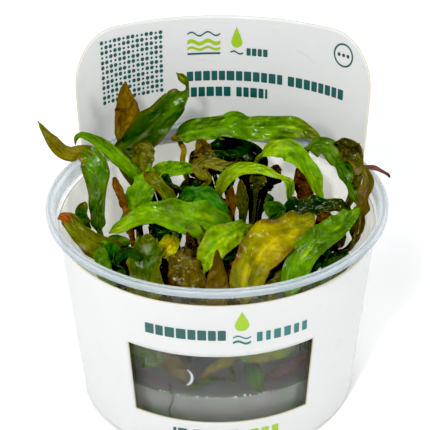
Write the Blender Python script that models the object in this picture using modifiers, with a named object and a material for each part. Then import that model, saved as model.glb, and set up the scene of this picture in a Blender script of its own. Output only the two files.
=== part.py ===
# A broad leaved water plant in a clear cup, with a printed card sleeve round it.
# The cup stands on z = 0 with its axis on the z axis, and its front faces -Y.
import math

import bmesh
import bpy
from mathutils import Vector

MM = 0.001
SHARP_ANGLE = math.radians(40.0)

# The cup: a cone with a flat foot, a ledge that another cup stacks on, and a flanged rim
RIM_RADIUS = 49.0 * MM
RIM_HEIGHT = 61.5 * MM
RIM_LIP = 1.8 * MM
FOOT_RADIUS = 39.2 * MM
WALL_SLOPE = 0.1009
WALL = 0.9 * MM
FLOOR = 1.0 * MM
LEDGE_HEIGHT = 55.2 * MM
LEDGE_RADIUS = 44.9 * MM
COLLAR_RADIUS = 45.1 * MM
COLLAR_HEIGHT = 58.8 * MM
STEP_RADIUS = 46.3 * MM
CUP_SEGMENTS = 36

# The card sleeve: a cone round the cup with a window, and a tall panel behind the rim
CARD = 0.5 * MM
BAND_LOW = 0.6 * MM
BAND_TOP = 55.0 * MM
BAND_RADIUS_LOW = 40.2 * MM
BAND_RADIUS_TOP = 45.7 * MM
WINDOW_LEFT = -34.5
WINDOW_RIGHT = 37.0
WINDOW_LOW = 13.0 * MM
WINDOW_TOP = 37.4 * MM
PANEL_TOP = 93.6 * MM
PANEL_LEFT = -46.6 * MM
PANEL_RIGHT = 52.4 * MM
PANEL_CORNER = 15.5 * MM
PANEL_BACK = 50.2 * MM
PANEL_RADIUS = 52.3 * MM
PANEL_FLATTENING = 0.415
PANEL_LEAN = math.radians(10.0)
PANEL_FOLD_HEIGHT = 60.0 * MM
PANEL_CLEAR_HEIGHT = 58.3 * MM

# The nutrient gel and the crowns that grow out of it
GEL_BASE = 1.4 * MM
GEL_TOP = 20.0 * MM
GAP = 0.35 * MM
CROWN_RADIUS = 3.4 * MM
CROWN_HALF_HEIGHT = 4.6 * MM
CROWN_CENTRE = 19.4 * MM
CROWNS = {
    "crown_back_left": (-20, 14),
    "crown_back": (7, 21),
    "crown_right": (25, 4),
    "crown_front": (2, -12),
    "crown_front_left": (-20, -9),
    "crown_front_right": (20, -15),
}

# Leaves: how thick a blade is, and how thick the stalk is where the blade begins
BLADE = 0.55 * MM
STALK_WIDTH = 2.4 * MM
FLATTENS_FROM = 1.8 * MM
FLATTENS_OVER = 2.2 * MM
RIPPLES = 1.4

# Stalks start in a ring round their crown, in mm
STALK_RING = 4.4
STALK_BASE = 21.2

# Colours of the leaves, from fresh green to dying brown
LEAF_COLOURS = {
    "bright": (0.19, 0.36, 0.02),
    "yellow": (0.33, 0.39, 0.02),
    "green": (0.07, 0.22, 0.015),
    "dark": (0.035, 0.075, 0.015),
    "olive": (0.12, 0.13, 0.015),
    "amber": (0.24, 0.12, 0.015),
    "mauve": (0.17, 0.08, 0.08),
}

# Each leaf: colour, its crown and the angle round it where its stalk starts, the ways its upper
# face looks from blade base to tip, how far it is folded along its midrib in degrees, the height
# of its margin's waves in mm, and its midrib up to the tip as x, y, z and width in mm
LEAVES = {
    "leaf_left_wavy": ("green", "crown_front_left", 140, [
        (-0.3, -1, 0.3), (-0.2, -0.9, 0.5), (0, -0.8, 0.6), (0.1, -0.7, 0.7)], 6, 0.8, [
        (-31, 2, 38, 1.6), (-33.6, 7, 45, 2.2), (-33.8, 8, 50, 7), (-34.4, 10.5, 56, 8),
        (-35.2, 13.5, 61.5, 8.2), (-36.4, 17, 64.8, 6.8), (-39, 20, 66.4, 5.4), (-43, 22.6, 65.6, 4.8),
        (-47, 24, 68.4, 4.4), (-50, 25, 73.6, 2.4), (-51.2, 25.4, 76.5, 0.8)]),
    "leaf_young_left": ("amber", "crown_front_left", 95, [(0, -0.9, 0.4)], 10, 0.1, [
        (-23, -3.5, 42, 1.6), (-24.5, -1.5, 50, 1.8), (-26.4, 4, 57, 2.2), (-28.6, 9.6, 61, 2.8),
        (-30, 13, 62.8, 2.4), (-30.8, 15, 63.8, 0.8)]),
    "leaf_left_strap": ("bright", "crown_back_left", 160, [
        (0.2, -0.8, 0.6), (0, -0.6, 0.8), (-0.6, -0.4, 0.7)], 10, 0.2, [
        (-18.5, 17, 44, 1.6), (-19.5, 18.6, 53, 2), (-22.6, 18.4, 58.4, 4.6), (-30, 19.4, 65.8, 5.6),
        (-36, 20.6, 70.2, 5.2), (-39.5, 20.4, 70.8, 3.4), (-40.8, 19.4, 68.6, 0.7)]),
    "leaf_amber_tall": ("amber", "crown_back_left", 110, [(0, -1, 0.2)], 8, 0.4, [
        (-24, 26, 42, 1.6), (-27, 33.5, 57, 1.8), (-27.5, 35, 63.5, 3.4), (-27, 35.2, 69, 7),
        (-25.5, 35, 74, 8.4), (-25.8, 34.6, 79, 5), (-26.2, 34, 84.2, 0.8)]),
    "leaf_broad_back": ("green", "crown_back_left", 60, [
        (0.1, -0.9, 0.4), (0.2, -0.9, 0.4), (0.4, -0.8, 0.4)], 6, 0.6, [
        (-19.5, 23, 42, 1.8), (-24.5, 27.5, 56, 2), (-25.5, 28.5, 62.5, 8), (-20.5, 29, 68, 13),
        (-14, 30.5, 74, 13.6), (-10, 32, 78.6, 7.4), (-8.8, 32.5, 81.4, 2), (-9.2, 31.6, 83.8, 1.8),
        (-10.6, 30.8, 85.6, 4.4), (-11.8, 30, 87.8, 0.8)]),
    "leaf_olive_glossy": ("olive", "crown_back_left", 205, [(0.2, -0.8, 0.6)], 14, 0.4, [
        (-23.5, 16, 42, 1.6), (-25.2, 19.6, 56, 2), (-24.4, 21, 60.6, 5), (-20.6, 23.4, 63.6, 7),
        (-17.4, 25.6, 65.6, 5), (-15.4, 27, 66.8, 0.8)]),
    "leaf_bright_steep": ("bright", "crown_back_left", 250, [
        (-0.4, -0.8, 0.4), (-0.2, -0.7, 0.7)], 8, 0.5, [
        (-24.5, 7.5, 40, 1.6), (-25, 6, 50, 3.4), (-24.4, 7, 54, 7), (-22.4, 11, 58.8, 8),
        (-20.4, 14.8, 62.8, 6), (-19.2, 16.8, 64.8, 0.8)]),
    "leaf_green_low": ("bright", "crown_back_left", 10, [(0, -0.6, 0.8)], 10, 0.3, [
        (-16, 21, 42, 1.5), (-17.4, 22.4, 54, 2), (-16.8, 23.4, 58, 4.4), (-13, 25, 60.2, 5.4),
        (-9, 25.4, 60.3, 4), (-5, 25, 58.6, 0.8)]),
    "leaf_rolled": ("yellow", "crown_back_left", 300, [(0.4, -0.8, 0.4), (0.3, -0.8, 0.5)], 40, 0.1, [
        (-15.5, 8.2, 42, 1.6), (-14, 7.4, 51, 2.4), (-14.4, 7.6, 56, 5.4), (-16.2, 8.8, 60, 7),
        (-18, 9.8, 63, 6.4), (-19.2, 10.6, 64.6, 1)]),
    "leaf_long_back": ("green", "crown_back", 131, [
        (0, -0.9, 0.45), (0, -0.9, 0.45), (0.3, -0.8, 0.5)], 8, 0.5, [
        (-5, 33, 44, 1.8), (-11.4, 36, 56, 1.8), (-13.4, 37.2, 60.6, 3.4), (-8, 38.3, 63.4, 9.4),
        (-1, 39, 64.8, 11.4), (6, 39.3, 65.2, 11), (18, 37.5, 65.2, 9.6), (26.4, 34, 65, 7.4),
        (30.8, 31.2, 64, 1.2)]),
    "leaf_dark_back": ("dark", "crown_back", 65, [(0, -0.9, 0.4)], 16, 0.5, [
        (12.4, 31.4, 44, 1.6), (14.4, 35, 50, 2.4), (12, 36.6, 54, 6), (5, 37, 55.6, 7.4),
        (-0.4, 36.6, 56, 5.4), (-3.6, 36.2, 56.6, 0.8)]),
    "leaf_olive_folded": ("olive", "crown_back", 164, [(0.2, -0.9, 0.4)], 26, 0.2, [
        (-2.8, 27.6, 42, 1.5), (-5.4, 30.6, 50, 2), (-6, 31.6, 54, 5), (-5, 32.4, 57.4, 6),
        (-4, 33, 61, 0.8)]),
    "leaf_khaki": ("olive", "crown_back", 196, [(0, -0.5, 0.85)], 20, 0.2, [
        (-4, 22.6, 40, 1.5), (-8.6, 25.4, 50, 1.8), (-7, 26, 54.6, 3.4), (-2.6, 26.4, 57, 5.6),
        (2.4, 26, 56.8, 5), (5.6, 26.6, 58.2, 0.8)]),
    "leaf_yellow_strap": ("yellow", "crown_back", 262, [
        (0, -0.8, 0.6), (0, -0.8, 0.6), (0.6, -0.7, 0.4)], 10, 0.2, [
        (2.6, 15, 42, 1.6), (0.2, 14.4, 52, 1.8), (0.4, 14.8, 55.4, 3), (2.6, 16.4, 58.4, 4.4),
        (5.6, 17.6, 60.8, 5), (9, 17.6, 62.2, 5.2), (12.4, 17.2, 61.8, 5), (15.6, 16, 60.8, 4.6),
        (19, 14.5, 60, 4.2), (20.8, 13, 58, 3.8), (19.8, 12, 53.6, 0.8)]),
    "leaf_yellow_arch": ("yellow", "crown_back", 0, [
        (-0.2, -0.6, 0.8), (0.2, -0.5, 0.85), (0.7, -0.7, 0.2)], 8, 0.4, [
        (11, 21, 45, 1.8), (10.8, 21.6, 57, 1.8), (11.4, 22.6, 61.4, 2.4), (13.6, 24, 63.4, 4.4),
        (18, 24.4, 65.4, 7), (22.6, 21.6, 66, 8.2), (25.8, 19, 62.8, 8.8), (28.3, 16.6, 57.6, 7),
        (29.4, 14.6, 52, 0.8)]),
    "leaf_brown_under": ("amber", "crown_right", 110, [(-0.3, -0.9, 0.3)], 10, 0.2, [
        (22.6, 16, 38, 1.4), (23.4, 22.4, 47, 2), (24.8, 23.6, 51, 4.6), (24, 24.2, 56, 5),
        (22.6, 24.4, 60, 0.8)]),
    "leaf_green_right": ("green", "crown_back", 33, [
        (0, -0.6, 0.8), (0.2, -0.5, 0.85), (0.9, -0.5, 0.2)], 8, 0.5, [
        (14.8, 24.6, 46, 1.7), (18, 27.4, 54, 1.7), (21.6, 28.8, 58, 2.2), (25.2, 28.6, 60.8, 5),
        (29.8, 27, 63, 7), (33.9, 21, 64.8, 8.2), (37, 15.5, 63.6, 8), (38.8, 10.2, 60.8, 6.6),
        (39.2, 5.4, 57, 1)]),
    "leaf_amber_blade": ("amber", "crown_back", 295, [(-0.2, -1, 0.2)], 16, 0.1, [
        (4.4, 11.6, 40, 1.4), (3.8, 10.6, 48, 3), (4, 10.8, 54, 4), (4.6, 11.4, 59.6, 0.7)]),
    "leaf_olive_blade": ("olive", "crown_back", 327, [(0.1, -1, 0.2)], 16, 0.1, [
        (7.6, 15, 40, 1.4), (7.6, 13.4, 49, 2.6), (7.2, 13, 55, 4), (7, 13, 60.4, 0.7)]),
    "leaf_dark_mid": ("dark", "crown_back", 98, [(0, -1, 0.2)], 12, 0.2, [
        (8.4, 28.4, 38, 1.4), (9.6, 30, 44, 3), (11, 29.4, 50, 5), (11.6, 28.4, 56, 4),
        (11.6, 27.6, 60, 0.8)]),
    "leaf_olive_behind": ("olive", "crown_right", 60, [
        (-0.3, -0.7, 0.6), (0.6, -0.4, 0.7)], 20, 0.3, [
        (31, 17, 44, 1.6), (33, 23.6, 55, 1.8), (34.6, 27.6, 62.6, 4.6), (38.6, 29, 67.4, 6.6),
        (43, 24.6, 67.8, 6), (44.8, 21, 65, 0.8)]),
    "leaf_amber_wall": ("amber", "crown_right", 330, [
        (-0.8, -0.5, 0.3), (-0.6, -0.7, 0.3)], 6, 0.4, [
        (33.4, -3, 42, 1.6), (37, -5.6, 49, 2), (39, -5, 53.4, 4), (40.6, -1.4, 56.6, 5.6),
        (42.2, 2.6, 60, 6.2), (43.6, 6.4, 64, 5), (44, 9.6, 67, 0.8)]),
    "leaf_curl_right": ("mauve", "crown_right", 15, [(0, -0.5, 0.85)], 10, 0.1, [
        (35.2, 12, 42, 1.3), (39, 17, 54, 1.3), (41, 17.8, 61.6, 1.5), (44.4, 15.4, 65.2, 2.6),
        (48, 11.8, 65, 1.8), (50, 10.8, 63.8, 0.7)]),
    "leaf_dark_flat": ("dark", "crown_right", 170, [(0, -0.5, 0.85), (0, -0.3, 0.95)], 10, 0.5, [
        (19.6, 6, 42, 1.6), (18.4, 4.4, 49, 2.2), (19.4, 4.6, 53, 5), (25.6, 7.4, 55, 8),
        (32, 7.6, 55.2, 6.4), (37, 7, 54.8, 0.8)]),
    "leaf_wet_right": ("green", "crown_front_right", 265, [
        (-0.1, -0.8, 0.6), (-0.2, -0.5, 0.85)], 12, 0.4, [
        (21.4, -28, 38, 1.7), (19.6, -30.4, 45, 2.2), (19.4, -27.4, 50.4, 6), (24, -21, 55.4, 9),
        (30.2, -14.5, 58.9, 9.6), (36, -8.4, 60.8, 7.6), (40, -3, 62, 1.6)]),
    "leaf_broad_front": ("yellow", "crown_front", 335, [
        (-0.3, -0.8, 0.5), (-0.1, -0.6, 0.8), (0, -0.4, 0.9)], 6, 0.5, [
        (7.4, -25, 38, 1.8), (7, -32.4, 46, 2.2), (7.4, -31.4, 51.4, 8), (9, -26, 56.8, 11.6),
        (13, -18.4, 59.6, 13), (20, -11.4, 59.8, 11.6), (26.2, -6.2, 59.2, 6), (28.4, -4.4, 58.8, 1)]),
    "leaf_grey_under": ("olive", "crown_front_right", 225, [(0, -0.7, 0.7)], 10, 0.3, [
        (14.4, -25, 36, 1.6), (13.6, -26, 43, 2), (14.8, -23.4, 48.4, 5), (18.4, -17.4, 51, 6.6),
        (21.6, -12.6, 52.4, 4.6), (23.4, -10, 53, 0.8)]),
    "leaf_curled_front": ("bright", "crown_front", 20, [
        (0, -0.6, 0.8), (-0.1, -0.8, 0.6), (0, -1, 0)], 14, 0.4, [
        (11, -8.4, 42, 1.6), (13, -5.4, 50, 1.8), (11.6, -4.4, 56.4, 2.6), (8.6, -7, 59.4, 5),
        (4.2, -11.6, 60.2, 8), (-0.4, -17, 59.4, 9), (-1.6, -21, 56.6, 7.6), (-0.6, -22.6, 52.4, 1)]),
    "leaf_brown_tip": ("amber", "crown_front", 285, [(0, -1, 0.2)], 18, 0.2, [
        (0.6, -28, 38, 1.5), (0.3, -34, 46, 2.2), (0.2, -33, 51, 7.6), (0.1, -30, 56, 5.6),
        (0, -27.6, 61.4, 0.7)]),
    "leaf_wet_dome": ("olive", "crown_front", 205, [(-0.1, -0.9, 0.4), (0, -0.6, 0.8)], -14, 0.3, [
        (-7, -26, 36, 1.6), (-9.6, -31.4, 44, 2.4), (-9.8, -30.6, 48.6, 9.4), (-9.4, -27, 54, 11.6),
        (-9.3, -22, 57.6, 8.6), (-9.2, -18.4, 59.4, 1)]),
    "leaf_olive_tips": ("olive", "crown_front", 115, [(0, -0.9, 0.4)], 20, 0.2, [
        (-5, -9, 40, 1.4), (-6.6, -12, 48, 1.8), (-7, -14, 52.4, 4), (-7.4, -14.8, 56.6, 0.7)]),
    "leaf_big_strap": ("bright", "crown_front", 70, [
        (0.1, -0.6, 0.8), (0, -0.6, 0.8), (-0.3, -0.6, 0.7)], 6, 0.4, [
        (7, -3, 40, 1.8), (6.6, -2, 51, 2.2), (3.4, -4.6, 57, 5), (-3, -7.4, 59.8, 9),
        (-10.6, -6.8, 61.4, 9.8), (-17.7, -6.2, 61.6, 8.6), (-24.9, -8, 60, 6), (-31, -9.8, 57.4, 1.2)]),
    "leaf_dark_green_mid": ("green", "crown_back", 229, [(0, -0.5, 0.85)], 10, 0.3, [
        (-6, 14, 42, 1.5), (-9, 12.6, 50, 2), (-8.8, 11.8, 56, 5), (-4.4, 10, 59.8, 7),
        (0, 6.6, 60, 6), (2.9, 3.8, 58.6, 0.8)]),
    "leaf_pointing_down": ("yellow", "crown_front", 165, [(0, -0.6, 0.8), (0.1, -1, 0.2)], 8, 0.2, [
        (-9, -5, 42, 1.5), (-12, -3.6, 50, 1.8), (-13, -5.4, 55, 4), (-14.4, -10, 56, 6.6),
        (-15.4, -14, 53.8, 5.4), (-16, -15.6, 51, 0.8)]),
    "leaf_rim_left": ("olive", "crown_front_left", 220, [(0.1, -0.7, 0.7), (0.2, -0.6, 0.8)], 14, 0.4, [
        (-26.4, -15, 40, 1.6), (-26.6, -15, 50, 2.2), (-28.6, -15.6, 54.6, 7), (-33, -16, 57.6, 11),
        (-38, -13.8, 60.4, 9), (-42.6, -11, 63.6, 4.4), (-46, -8.8, 64.6, 0.8)]),
    "leaf_bud_left": ("dark", "crown_front_left", 180, [(0.3, -0.9, 0.3)], 20, 0.2, [
        (-34, -2.6, 40, 1.4), (-37, -1, 49, 2), (-38.2, 0.6, 54.4, 5), (-39, 2, 58.6, 4.2),
        (-39, 3.6, 62.4, 0.7)]),
    "leaf_ridge_front": ("olive", "crown_front_left", 305, [
        (-0.2, -0.9, 0.4), (-0.1, -0.6, 0.8)], 20, 0.4, [
        (-18.4, -26, 38, 1.6), (-19, -31, 45, 2.2), (-20, -29, 50, 8), (-21.6, -24.4, 54.8, 9.6),
        (-23, -19, 57, 7), (-24, -15.6, 58, 0.8)]),
    "leaf_green_front_left": ("green", "crown_front_left", 240, [
        (-0.5, -0.8, 0.4), (-0.2, -0.7, 0.7)], 10, 0.4, [
        (-24.4, -24, 34, 1.6), (-27.6, -27.4, 42, 1.8), (-31, -26.6, 49, 5), (-32.4, -23.4, 54, 6),
        (-34.4, -20.6, 57.6, 5), (-35.4, -18.4, 59.4, 0.8)]),
    "leaf_dark_front": ("dark", "crown_front_left", 345, [(0, -0.8, 0.6)], 10, 0.3, [
        (-13.6, -17, 34, 1.5), (-13.4, -23.4, 42, 1.8), (-15.2, -25, 47, 5), (-15.2, -21.8, 51.4, 5.6),
        (-15, -19.6, 54, 0.8)]),
    "leaf_dark_right": ("dark", "crown_front_right", 20, [(-0.4, -0.6, 0.7)], 10, 0.4, [
        (28, -24, 36, 1.6), (29, -27, 42, 2.2), (31.4, -22.6, 47, 7.6), (34.2, -15.6, 50.4, 7.6),
        (35, -11, 51, 1)]),
    "leaf_low_green": ("green", "crown_front_left", 262, [(-0.5, -0.9, 0.1)], 6, 0.3, [
        (-21.4, -26, 25.4, 1.6), (-20.6, -31.6, 27.6, 5), (-18.8, -34, 32, 8), (-17.8, -34, 36.4, 6),
        (-17.4, -33, 39.4, 0.8)]),
    "leaf_low_olive": ("olive", "crown_front", 245, [(0, -0.7, 0.7), (-0.2, -1, 0.1)], 10, 0.2, [
        (-3, -27.4, 30, 1.6), (-5.2, -33.2, 35.6, 5), (-7.6, -36.4, 32, 7), (-8.8, -37.2, 28, 4.6),
        (-9, -37, 25, 0.8)]),
    "leaf_low_bright": ("bright", "crown_front_right", 305, [(0.3, -0.9, 0.4)], 10, 0.3, [
        (22, -28.6, 30, 1.6), (20, -33, 33, 4.6), (14.4, -35.8, 33.6, 6), (8.6, -36.8, 33, 4.4),
        (5, -36.4, 32.6, 0.8)]),
    "leaf_low_mauve": ("mauve", "crown_front_right", 345, [(0.4, -0.8, 0.5)], 8, 0.3, [
        (26.4, -22, 26, 1.6), (25.6, -26.4, 27, 4), (20.4, -31, 25.6, 5.2), (15.4, -33.6, 25, 4),
        (12, -34.4, 24.6, 0.8)]),
}


def new_material(name, colour, roughness, alpha=1.0):
    material = bpy.data.materials.new(name)
    material.use_nodes = True
    shader = material.node_tree.nodes["Principled BSDF"]
    shader.inputs["Base Color"].default_value = (*colour, 1.0)
    shader.inputs["Roughness"].default_value = roughness
    shader.inputs["Metallic"].default_value = 0.0
    shader.inputs["Alpha"].default_value = alpha
    return material


def new_object(name, mesh, material, collection):
    thing = bpy.data.objects.new(name, mesh)
    mesh.materials.append(material)
    mesh.shade_smooth()
    mesh.set_sharp_from_angle(angle=SHARP_ANGLE)
    collection.objects.link(thing)
    return thing


def mesh_from(name, shape):
    bmesh.ops.recalc_face_normals(shape, faces=shape.faces)
    mesh = bpy.data.meshes.new(name)
    shape.to_mesh(mesh)
    shape.free()
    return mesh


# A turned shape from a profile of radius and height that starts and ends on the axis
def turned(name, profile, segments, material, collection):
    mesh = bpy.data.meshes.new(name)
    edges = [(i, i + 1) for i in range(len(profile) - 1)]
    mesh.from_pydata([(r, 0.0, z) for r, z in profile], edges, [])
    thing = new_object(name, mesh, material, collection)
    screw = thing.modifiers.new("turn", "SCREW")
    screw.steps = segments
    screw.render_steps = segments
    screw.use_merge_vertices = True
    screw.merge_threshold = 0.00001
    return thing


def wall_outside(height):
    return FOOT_RADIUS + WALL_SLOPE * height


def wall_inside(height):
    return wall_outside(height) - WALL


def make_cup(collection):
    below_ledge = LEDGE_HEIGHT - 0.8 * MM
    under_rim = RIM_HEIGHT - WALL
    lip_foot = RIM_HEIGHT - RIM_LIP
    profile = [
        (0.0, FLOOR),
        (wall_inside(0) - 1.6 * MM, FLOOR),
        (wall_inside(2 * FLOOR), 2 * FLOOR),
        (wall_inside(below_ledge), below_ledge),
        (LEDGE_RADIUS, LEDGE_HEIGHT + FLOOR),
        (COLLAR_RADIUS, COLLAR_HEIGHT),
        (STEP_RADIUS - 0.4 * MM, COLLAR_HEIGHT + 0.8 * MM),
        (STEP_RADIUS, RIM_HEIGHT - 0.3 * MM),
        (STEP_RADIUS + 0.5 * MM, RIM_HEIGHT),
        (RIM_RADIUS - 0.4 * MM, RIM_HEIGHT),
        (RIM_RADIUS, RIM_HEIGHT - 0.4 * MM),
        (RIM_RADIUS, lip_foot),
        (RIM_RADIUS - 0.8 * MM, lip_foot),
        (RIM_RADIUS - WALL, under_rim),
        (STEP_RADIUS + WALL, under_rim),
        (STEP_RADIUS + 0.4 * MM, COLLAR_HEIGHT),
        (COLLAR_RADIUS + WALL, COLLAR_HEIGHT - 0.7 * MM),
        (LEDGE_RADIUS + WALL, LEDGE_HEIGHT + 0.6 * MM),
        (wall_outside(LEDGE_HEIGHT), LEDGE_HEIGHT - 0.1 * MM),
        (wall_outside(1.4 * MM), 1.4 * MM),
        (wall_outside(0) - 1.2 * MM, 0.0),
        (0.0, 0.0),
    ]
    plastic = new_material("clear_plastic", (0.86, 0.89, 0.9), 0.08, 0.35)
    return turned("cup", profile, CUP_SEGMENTS, plastic, collection)


# The panel's face at a place along its arc and a height, as a point in plan
def panel_place(along, height):
    rise = height - PANEL_FOLD_HEIGHT
    radius = PANEL_RADIUS + PANEL_FLATTENING * rise
    back = PANEL_BACK + math.tan(PANEL_LEAN) * rise
    turn = along / radius
    return Vector((radius * math.sin(turn), back - radius + radius * math.cos(turn)))


def band_radius(height):
    share = (height - BAND_LOW) / (BAND_TOP - BAND_LOW)
    return BAND_RADIUS_LOW + (BAND_RADIUS_TOP - BAND_RADIUS_LOW) * share


# The panel's upper outline, level with two rounded corners
def panel_top(along):
    inset = min(along - PANEL_LEFT, PANEL_RIGHT - along)
    if inset >= PANEL_CORNER:
        return PANEL_TOP
    away = PANEL_CORNER - max(inset, 0.0)
    return PANEL_TOP - PANEL_CORNER + math.sqrt(PANEL_CORNER ** 2 - away ** 2)


def make_sleeve(collection):
    corner_steps = [0.0, 0.9, 3.0, 6.2, 10.4, 15.5]
    flat_steps = 8
    alongs = [PANEL_LEFT + step * MM for step in corner_steps]
    flat = PANEL_RIGHT - PANEL_LEFT - 2 * PANEL_CORNER
    alongs += [PANEL_LEFT + PANEL_CORNER + flat * k / flat_steps for k in range(1, flat_steps)]
    alongs += [PANEL_RIGHT - step * MM for step in reversed(corner_steps)]

    # Angles round the cup from the front, anticlockwise seen from above, first across the window
    window_steps = 8
    turns = [
        math.radians(WINDOW_LEFT + (WINDOW_RIGHT - WINDOW_LEFT) * k / window_steps)
        for k in range(window_steps + 1)
    ]
    panel_turns = []
    for along in alongs:
        place = panel_place(along, PANEL_FOLD_HEIGHT)
        turn = math.atan2(place.x, -place.y)
        panel_turns.append(turn if turn > 0 else turn + 2 * math.pi)
    panel_turns.reverse()
    side_steps = 8
    right_gap = panel_turns[0] - turns[-1]
    left_gap = turns[0] + 2 * math.pi - panel_turns[-1]
    turns += [turns[window_steps] + right_gap * k / side_steps for k in range(1, side_steps)]
    turns += panel_turns
    turns += [panel_turns[-1] + left_gap * k / side_steps for k in range(1, side_steps)]
    alongs.reverse()
    first_panel = window_steps + side_steps

    heights = [BAND_LOW, WINDOW_LOW, (WINDOW_LOW + WINDOW_TOP) / 2, WINDOW_TOP, 47 * MM, BAND_TOP]
    bulges = [0.0, 0.0, 0.0, 0.0, 0.5 * MM, 2.4 * MM]

    # The band bulges out behind the cup, so that the panel above it clears the rim
    def bulge_share(turn):
        if turn < panel_turns[0]:
            away = (panel_turns[0] - turn) / right_gap
        elif turn > panel_turns[-1]:
            away = (turn - panel_turns[-1]) / left_gap
        else:
            away = 0.0
        return max(0.0, 1.0 - 2.2 * away) ** 2

    shape = bmesh.new()
    rings = []
    for turn in turns:
        ring = []
        for height, bulge in zip(heights, bulges):
            radius = band_radius(height) + bulge * bulge_share(turn)
            ring.append(shape.verts.new((radius * math.sin(turn), -radius * math.cos(turn), height)))
        rings.append(ring)
    for k, ring in enumerate(rings):
        after = rings[(k + 1) % len(rings)]
        for row in range(len(heights) - 1):
            if k < window_steps and row in (1, 2):
                continue
            shape.faces.new((ring[row], after[row], after[row + 1], ring[row + 1]))

    shares = [0.0, 0.09, 0.26, 0.48, 0.72, 1.0]
    columns = []
    for k, along in enumerate(alongs):
        column = [rings[first_panel + k][-1]]
        top = panel_top(along)
        for share in shares:
            height = PANEL_CLEAR_HEIGHT + (top - PANEL_CLEAR_HEIGHT) * share
            place = panel_place(along, height)
            column.append(shape.verts.new((place.x, place.y, height)))
        columns.append(column)
    for left, right in zip(columns, columns[1:]):
        for row in range(len(shares)):
            shape.faces.new((left[row], right[row], right[row + 1], left[row + 1]))

    card = new_material("printed_card", (0.86, 0.87, 0.86), 0.45)
    sleeve = new_object("card_sleeve", mesh_from("card_sleeve", shape), card, collection)
    thickness = sleeve.modifiers.new("card", "SOLIDIFY")
    thickness.thickness = CARD
    thickness.offset = -1.0
    return sleeve


def crown_ball(name, extra):
    shape = bmesh.new()
    bmesh.ops.create_uvsphere(shape, u_segments=10, v_segments=6, radius=1.0)
    wide = CROWN_RADIUS + extra
    tall = CROWN_HALF_HEIGHT + extra
    bmesh.ops.scale(shape, vec=(wide, wide, tall), verts=shape.verts)
    return mesh_from(name, shape)


def make_crowns(collection, cutters):
    flesh = new_material("crown_flesh", (0.22, 0.16, 0.09), 0.5)
    pits = []
    for name, (x, y) in CROWNS.items():
        crown = new_object(name, crown_ball(name, 0.0), flesh, collection)
        crown.location = (x * MM, y * MM, CROWN_CENTRE)
        pit = bpy.data.objects.new(name + "_pit", crown_ball(name + "_pit", GAP * 1.1))
        cutters.objects.link(pit)
        pit.location = crown.location
        pit.hide_render = True
        pit.display_type = "WIRE"
        pits.append(pit)
    return pits


def make_gel(collection, pits):
    profile = [
        (0.0, GEL_TOP),
        (wall_inside(GEL_TOP) - GAP, GEL_TOP),
        (wall_inside(3 * MM) - GAP, 3.0 * MM),
        (wall_inside(0) - 2.2 * MM, GEL_BASE),
        (0.0, GEL_BASE),
    ]
    jelly = new_material("nutrient_gel", (0.4, 0.42, 0.4), 0.2)
    gel = turned("nutrient_gel", profile, CUP_SEGMENTS, jelly, collection)
    for pit in pits:
        cut = gel.modifiers.new(pit.name, "BOOLEAN")
        cut.operation = "DIFFERENCE"
        cut.solver = "EXACT"
        cut.object = pit
    return gel


# A smooth route through hand placed points, by Catmull-Rom, at a share of one stretch
def route_point(points, stretch, share):
    before = points[max(stretch - 1, 0)]
    start = points[stretch]
    end = points[stretch + 1]
    after = points[min(stretch + 2, len(points) - 1)]
    t, t2, t3 = share, share ** 2, share ** 3
    return 0.5 * (
        2.0 * start
        + (end - before) * t
        + (2.0 * before - 5.0 * start + 4.0 * end - after) * t2
        + (3.0 * start - before - 3.0 * end + after) * t3
    )


def blend_faces(faces, share):
    place = share * (len(faces) - 1)
    k = min(int(place), max(len(faces) - 2, 0))
    first = Vector(faces[k]).normalized()
    second = Vector(faces[min(k + 1, len(faces) - 1)]).normalized()
    return first.lerp(second, place - k)


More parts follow.
